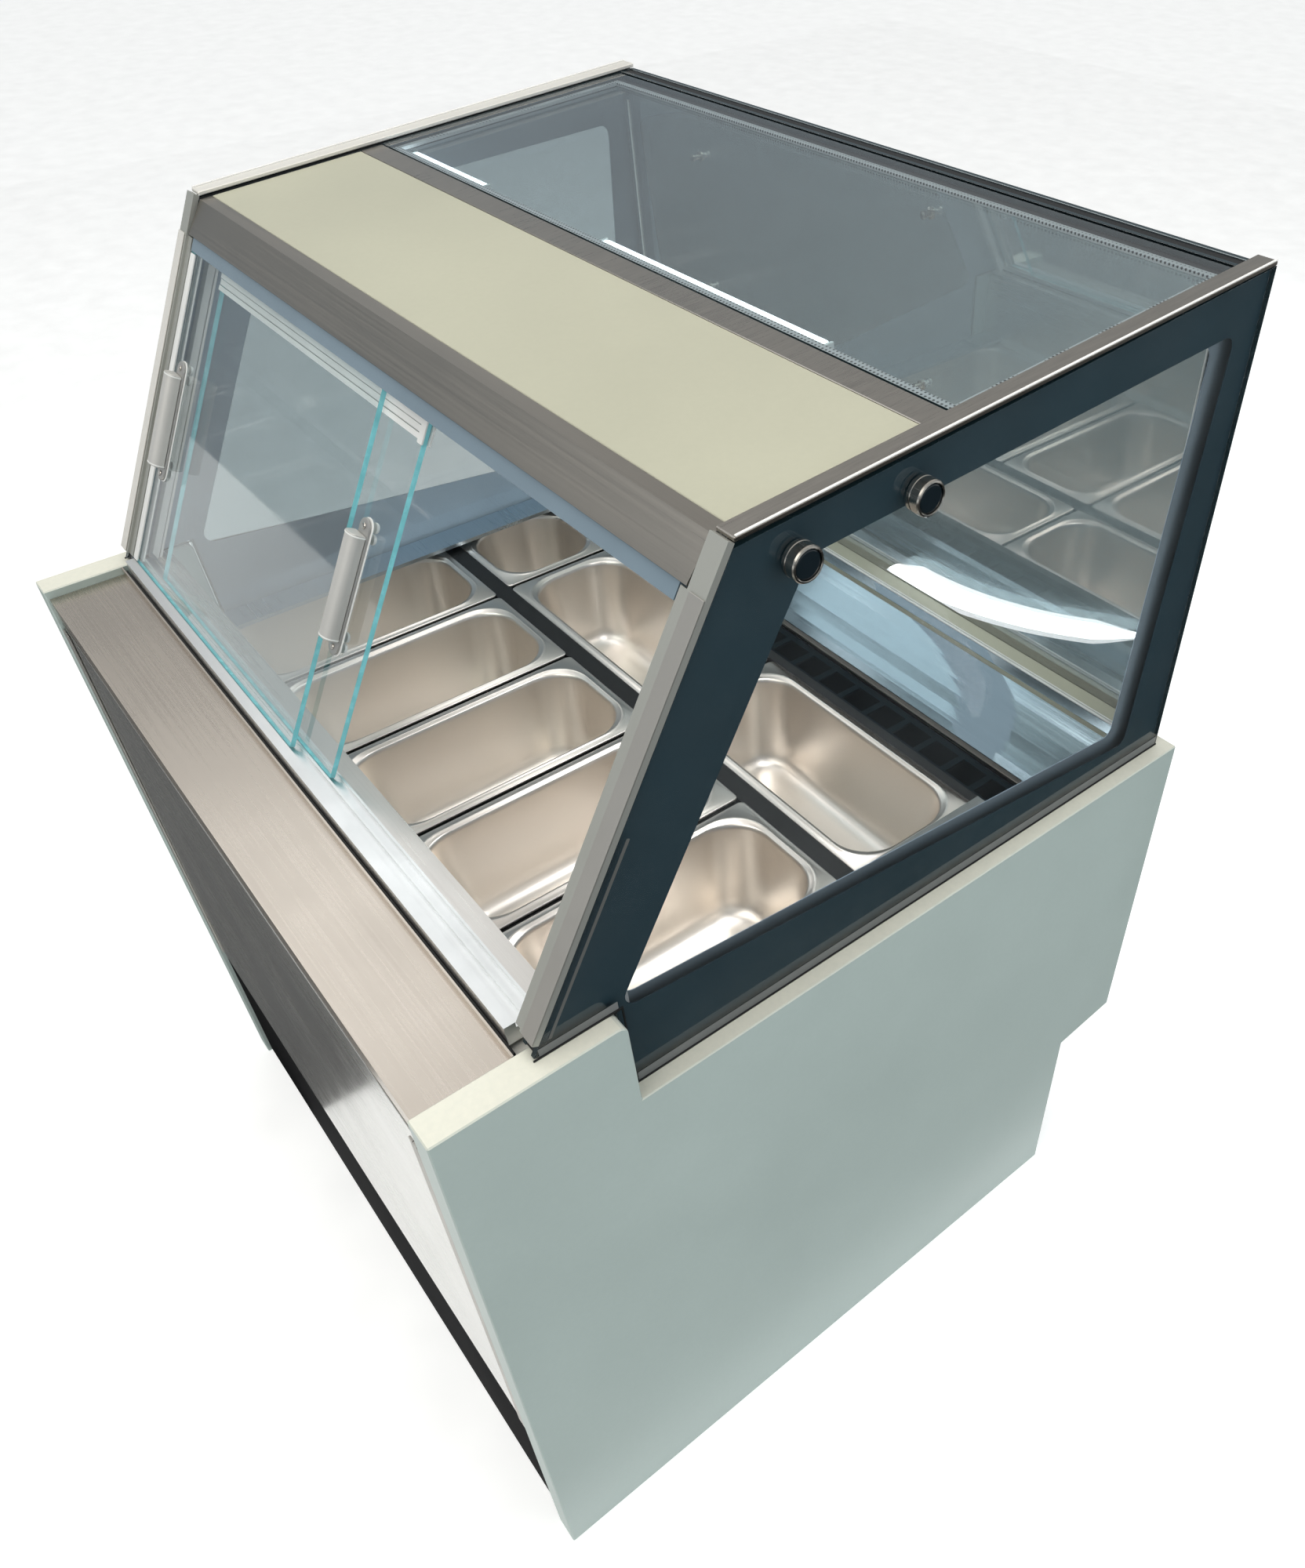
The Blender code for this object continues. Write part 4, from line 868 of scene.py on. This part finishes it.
def camera():
    """The photograph's viewing angle."""
    data = bpy.data.cameras.new("camera")
    view = bpy.data.objects.new("camera", data)
    bpy.context.scene.collection.objects.link(view)
    back = VIEW_BACK.normalized()
    up = back.cross(VIEW_RIGHT.normalized()).normalized()
    axes = Matrix((up.cross(back), up, back)).transposed().to_4x4()
    view.matrix_world = Matrix.Translation(VIEW_FROM) @ axes
    data.sensor_width = 36.0
    data.lens = 26.924
    data.shift_x = -0.1045
    data.shift_y = 0.0525
    data.clip_start = 0.01
    bpy.context.scene.camera = view


GLARE_CENTRE, GLARE_RADIUS = (0.068, -0.010), 0.428
GLARE_START, GLARE_SWEEP, GLARE_STEPS = 92, 46, 24           # the first two in degrees
GLARE_BANDS = ((0.030, 0.8042, 1.6), (0.020, 0.8048, 9.0))   # half width, height, glow


def card(name, mesh, tone, glow=0.0):
    """A flat panel of the studio that only shows in reflections."""
    flag = bpy.data.objects.new(name, mesh)
    bpy.context.scene.collection.objects.link(flag)
    flag.data.materials.append(moulded(name, (tone, tone * 1.02, tone * 1.04), 0.7, 40.0, glow))
    for ray in ("camera", "diffuse", "transmission", "volume_scatter", "shadow"):
        setattr(flag, "visible_" + ray, False)
    return flag


def glow_upwards(flag):
    """A card that shines upwards, and from below looks like the room above it."""
    tree = flag.data.materials[0].node_tree
    nodes, links = tree.nodes, tree.links
    geometry, split = nodes.new("ShaderNodeNewGeometry"), nodes.new("ShaderNodeSeparateXYZ")
    above = nodes.new("ShaderNodeMath")
    above.operation = "GREATER_THAN"
    above.inputs[1].default_value = 0.0
    dim, mix = nodes.new("ShaderNodeEmission"), nodes.new("ShaderNodeMixShader")
    dim.inputs["Color"].default_value = (0.50, 0.56, 0.60, 1)
    output = next(node for node in nodes if node.type == "OUTPUT_MATERIAL")
    shown = output.inputs["Surface"].links[0].from_socket
    links.new(geometry.outputs["Normal"], split.inputs[0])
    links.new(split.outputs["Z"], above.inputs[0])
    links.new(above.outputs[0], mix.inputs[0])
    links.new(dim.outputs[0], mix.inputs[1])
    links.new(shown, mix.inputs[2])
    links.new(mix.outputs[0], output.inputs["Surface"])


def glare_band(half_width, height):
    """A flat band along part of a circle, a little narrower at its far end and round at both."""
    turns = [math.radians(GLARE_START - GLARE_SWEEP * step / GLARE_STEPS) for step in range(GLARE_STEPS + 1)]
    corners = []
    for sign, order in ((-1, turns), (1, turns[::-1])):
        for turn in order:
            along = (turns[0] - turn) / (turns[0] - turns[-1])
            reach = half_width * (1 - 0.15 * along) * min(1.0, 0.35 + 8 * along, 0.20 + 5 * (1 - along))
            radius = GLARE_RADIUS + sign * reach
            corners.append((GLARE_CENTRE[0] + radius * math.cos(turn),
                            GLARE_CENTRE[1] + radius * math.sin(turn), height))
    return mesh_of(lambda bm: bm.faces.new([bm.verts.new(corner) for corner in corners]))


def floor_and_cards():
    """A pale floor, darker and brighter cards round it, and the lamps' glare over the air deflector."""
    floor = bpy.data.objects.new("floor", slab(rectangle(-60, 60, -60, 60), -0.02, 0.0, FLAT, (), 0.0))
    bpy.context.scene.collection.objects.link(floor)
    floor.location.z = -0.0005
    floor.data.materials.append(moulded("pale_floor", (0.80, 0.81, 0.81), 0.7, 60.0, 0.60))
    for name, near_x, far_x, tone in (("dark_floor_card", -6.0, -0.30, 0.10),
                                      ("darker_floor_card", 0.56, 6.0, 0.004)):
        card(name, slab(rectangle(near_x, far_x, -4.0, 6.0), 0.0010, 0.0020, FLAT, (), 0.0), tone)
    card("sky_card", slab(rectangle(-4.5, 1.0, 3.3, 6.5), -3.2, -3.19, SIDE, (), 0.0), 0.8, 1.05)
    for half_width, height, glow in GLARE_BANDS:
        band = glare_band(half_width, height)
        glow_upwards(card(f"lamp_glare_{height * 10000:.0f}", band, 0.8, glow))


def lights():
    """Soft lights round the freezer, and two inside it where its lamps are."""
    lamp_white = (1.0, 0.99, 0.98)
    lamps = (                         # name, place, target, width and depth, power, colour, mirrored
        ("key", (0.5, -2.2, 3.4), (0, -0.1, 0.9), (2.4, 2.4), 44, (1.0, 0.95, 0.88), True),
        ("top", (0.2, 0.3, 3.8), (0, 0, 0.9), (2.0, 2.0), 46, (1.0, 0.96, 0.90), False),
        ("fill", (3.2, 1.4, 1.8), (0.2, 0, 0.7), (2.2, 2.2), 22, (0.86, 0.95, 1.0), False),
        ("back", (-1.5, 3.2, 2.2), (0, 0.2, 0.9), (2.0, 2.0), 18, (0.84, 0.92, 1.0), False),
        ("inside_left", (-0.22, 0.03, 1.175), (-0.22, 0.03, 0.7), (0.36, 0.17), 0.30, lamp_white, True),
        ("inside_right", (0.33, 0.08, 1.175), (0.33, 0.08, 0.7), (0.30, 0.17), 0.74, lamp_white, True),
    )
    for name, place, target, size, power, colour, mirrored in lamps:
        data = bpy.data.lights.new(name, "AREA")
        data.shape, (data.size, data.size_y) = "RECTANGLE", size
        data.energy, data.color = power, colour
        lamp = bpy.data.objects.new(name, data)
        lamp.location = place
        lamp.rotation_euler = (Vector(target) - Vector(place)).to_track_quat("-Z", "Y").to_euler()
        lamp.visible_glossy = mirrored
        lamp.visible_camera = False
        bpy.context.scene.collection.objects.link(lamp)


def sky():
    """A world that is bluish near the horizon and warmer overhead."""
    world = bpy.data.worlds.new("studio")
    bpy.context.scene.world = world
    world.use_nodes = True
    nodes, links = world.node_tree.nodes, world.node_tree.links
    place = nodes.new("ShaderNodeTexCoord")
    split = nodes.new("ShaderNodeSeparateXYZ")
    ramp = nodes.new("ShaderNodeValToRGB")
    links.new(place.outputs["Generated"], split.inputs[0])
    links.new(split.outputs["Z"], ramp.inputs[0])
    low, high = ramp.color_ramp.elements
    low.position, low.color = 0.0, (0.50, 0.54, 0.58, 1)
    high.position, high.color = 0.75, (1.0, 0.98, 0.95, 1)
    ramp.color_ramp.elements.new(0.25).color = (0.42, 0.48, 0.53, 1)
    links.new(ramp.outputs[0], nodes["Background"].inputs["Color"])
    nodes["Background"].inputs["Strength"].default_value = 0.62


for node_name, settings in NODE_LOOKS.items():
    finish_node(node_name, *settings)
for number in range(1, 5):
    pan_piece(f"long_pan_{number}", f"long_pan_{number}_lift")
for number in range(1, 3):
    pan_piece(f"cross_pan_{number}", f"cross_pan_{number}_lift")
pan_piece("long_pan_5", CABINET)
pan_piece("half_pan", CABINET)
end_units()
flat_units()
door_pieces()
canopy_pieces()
edge_trims()
jambs()
seals()
return_duct()
pegs()
inlet()
camera()
floor_and_cards()
lights()
sky()
bpy.context.scene.view_settings.view_transform = "Standard"
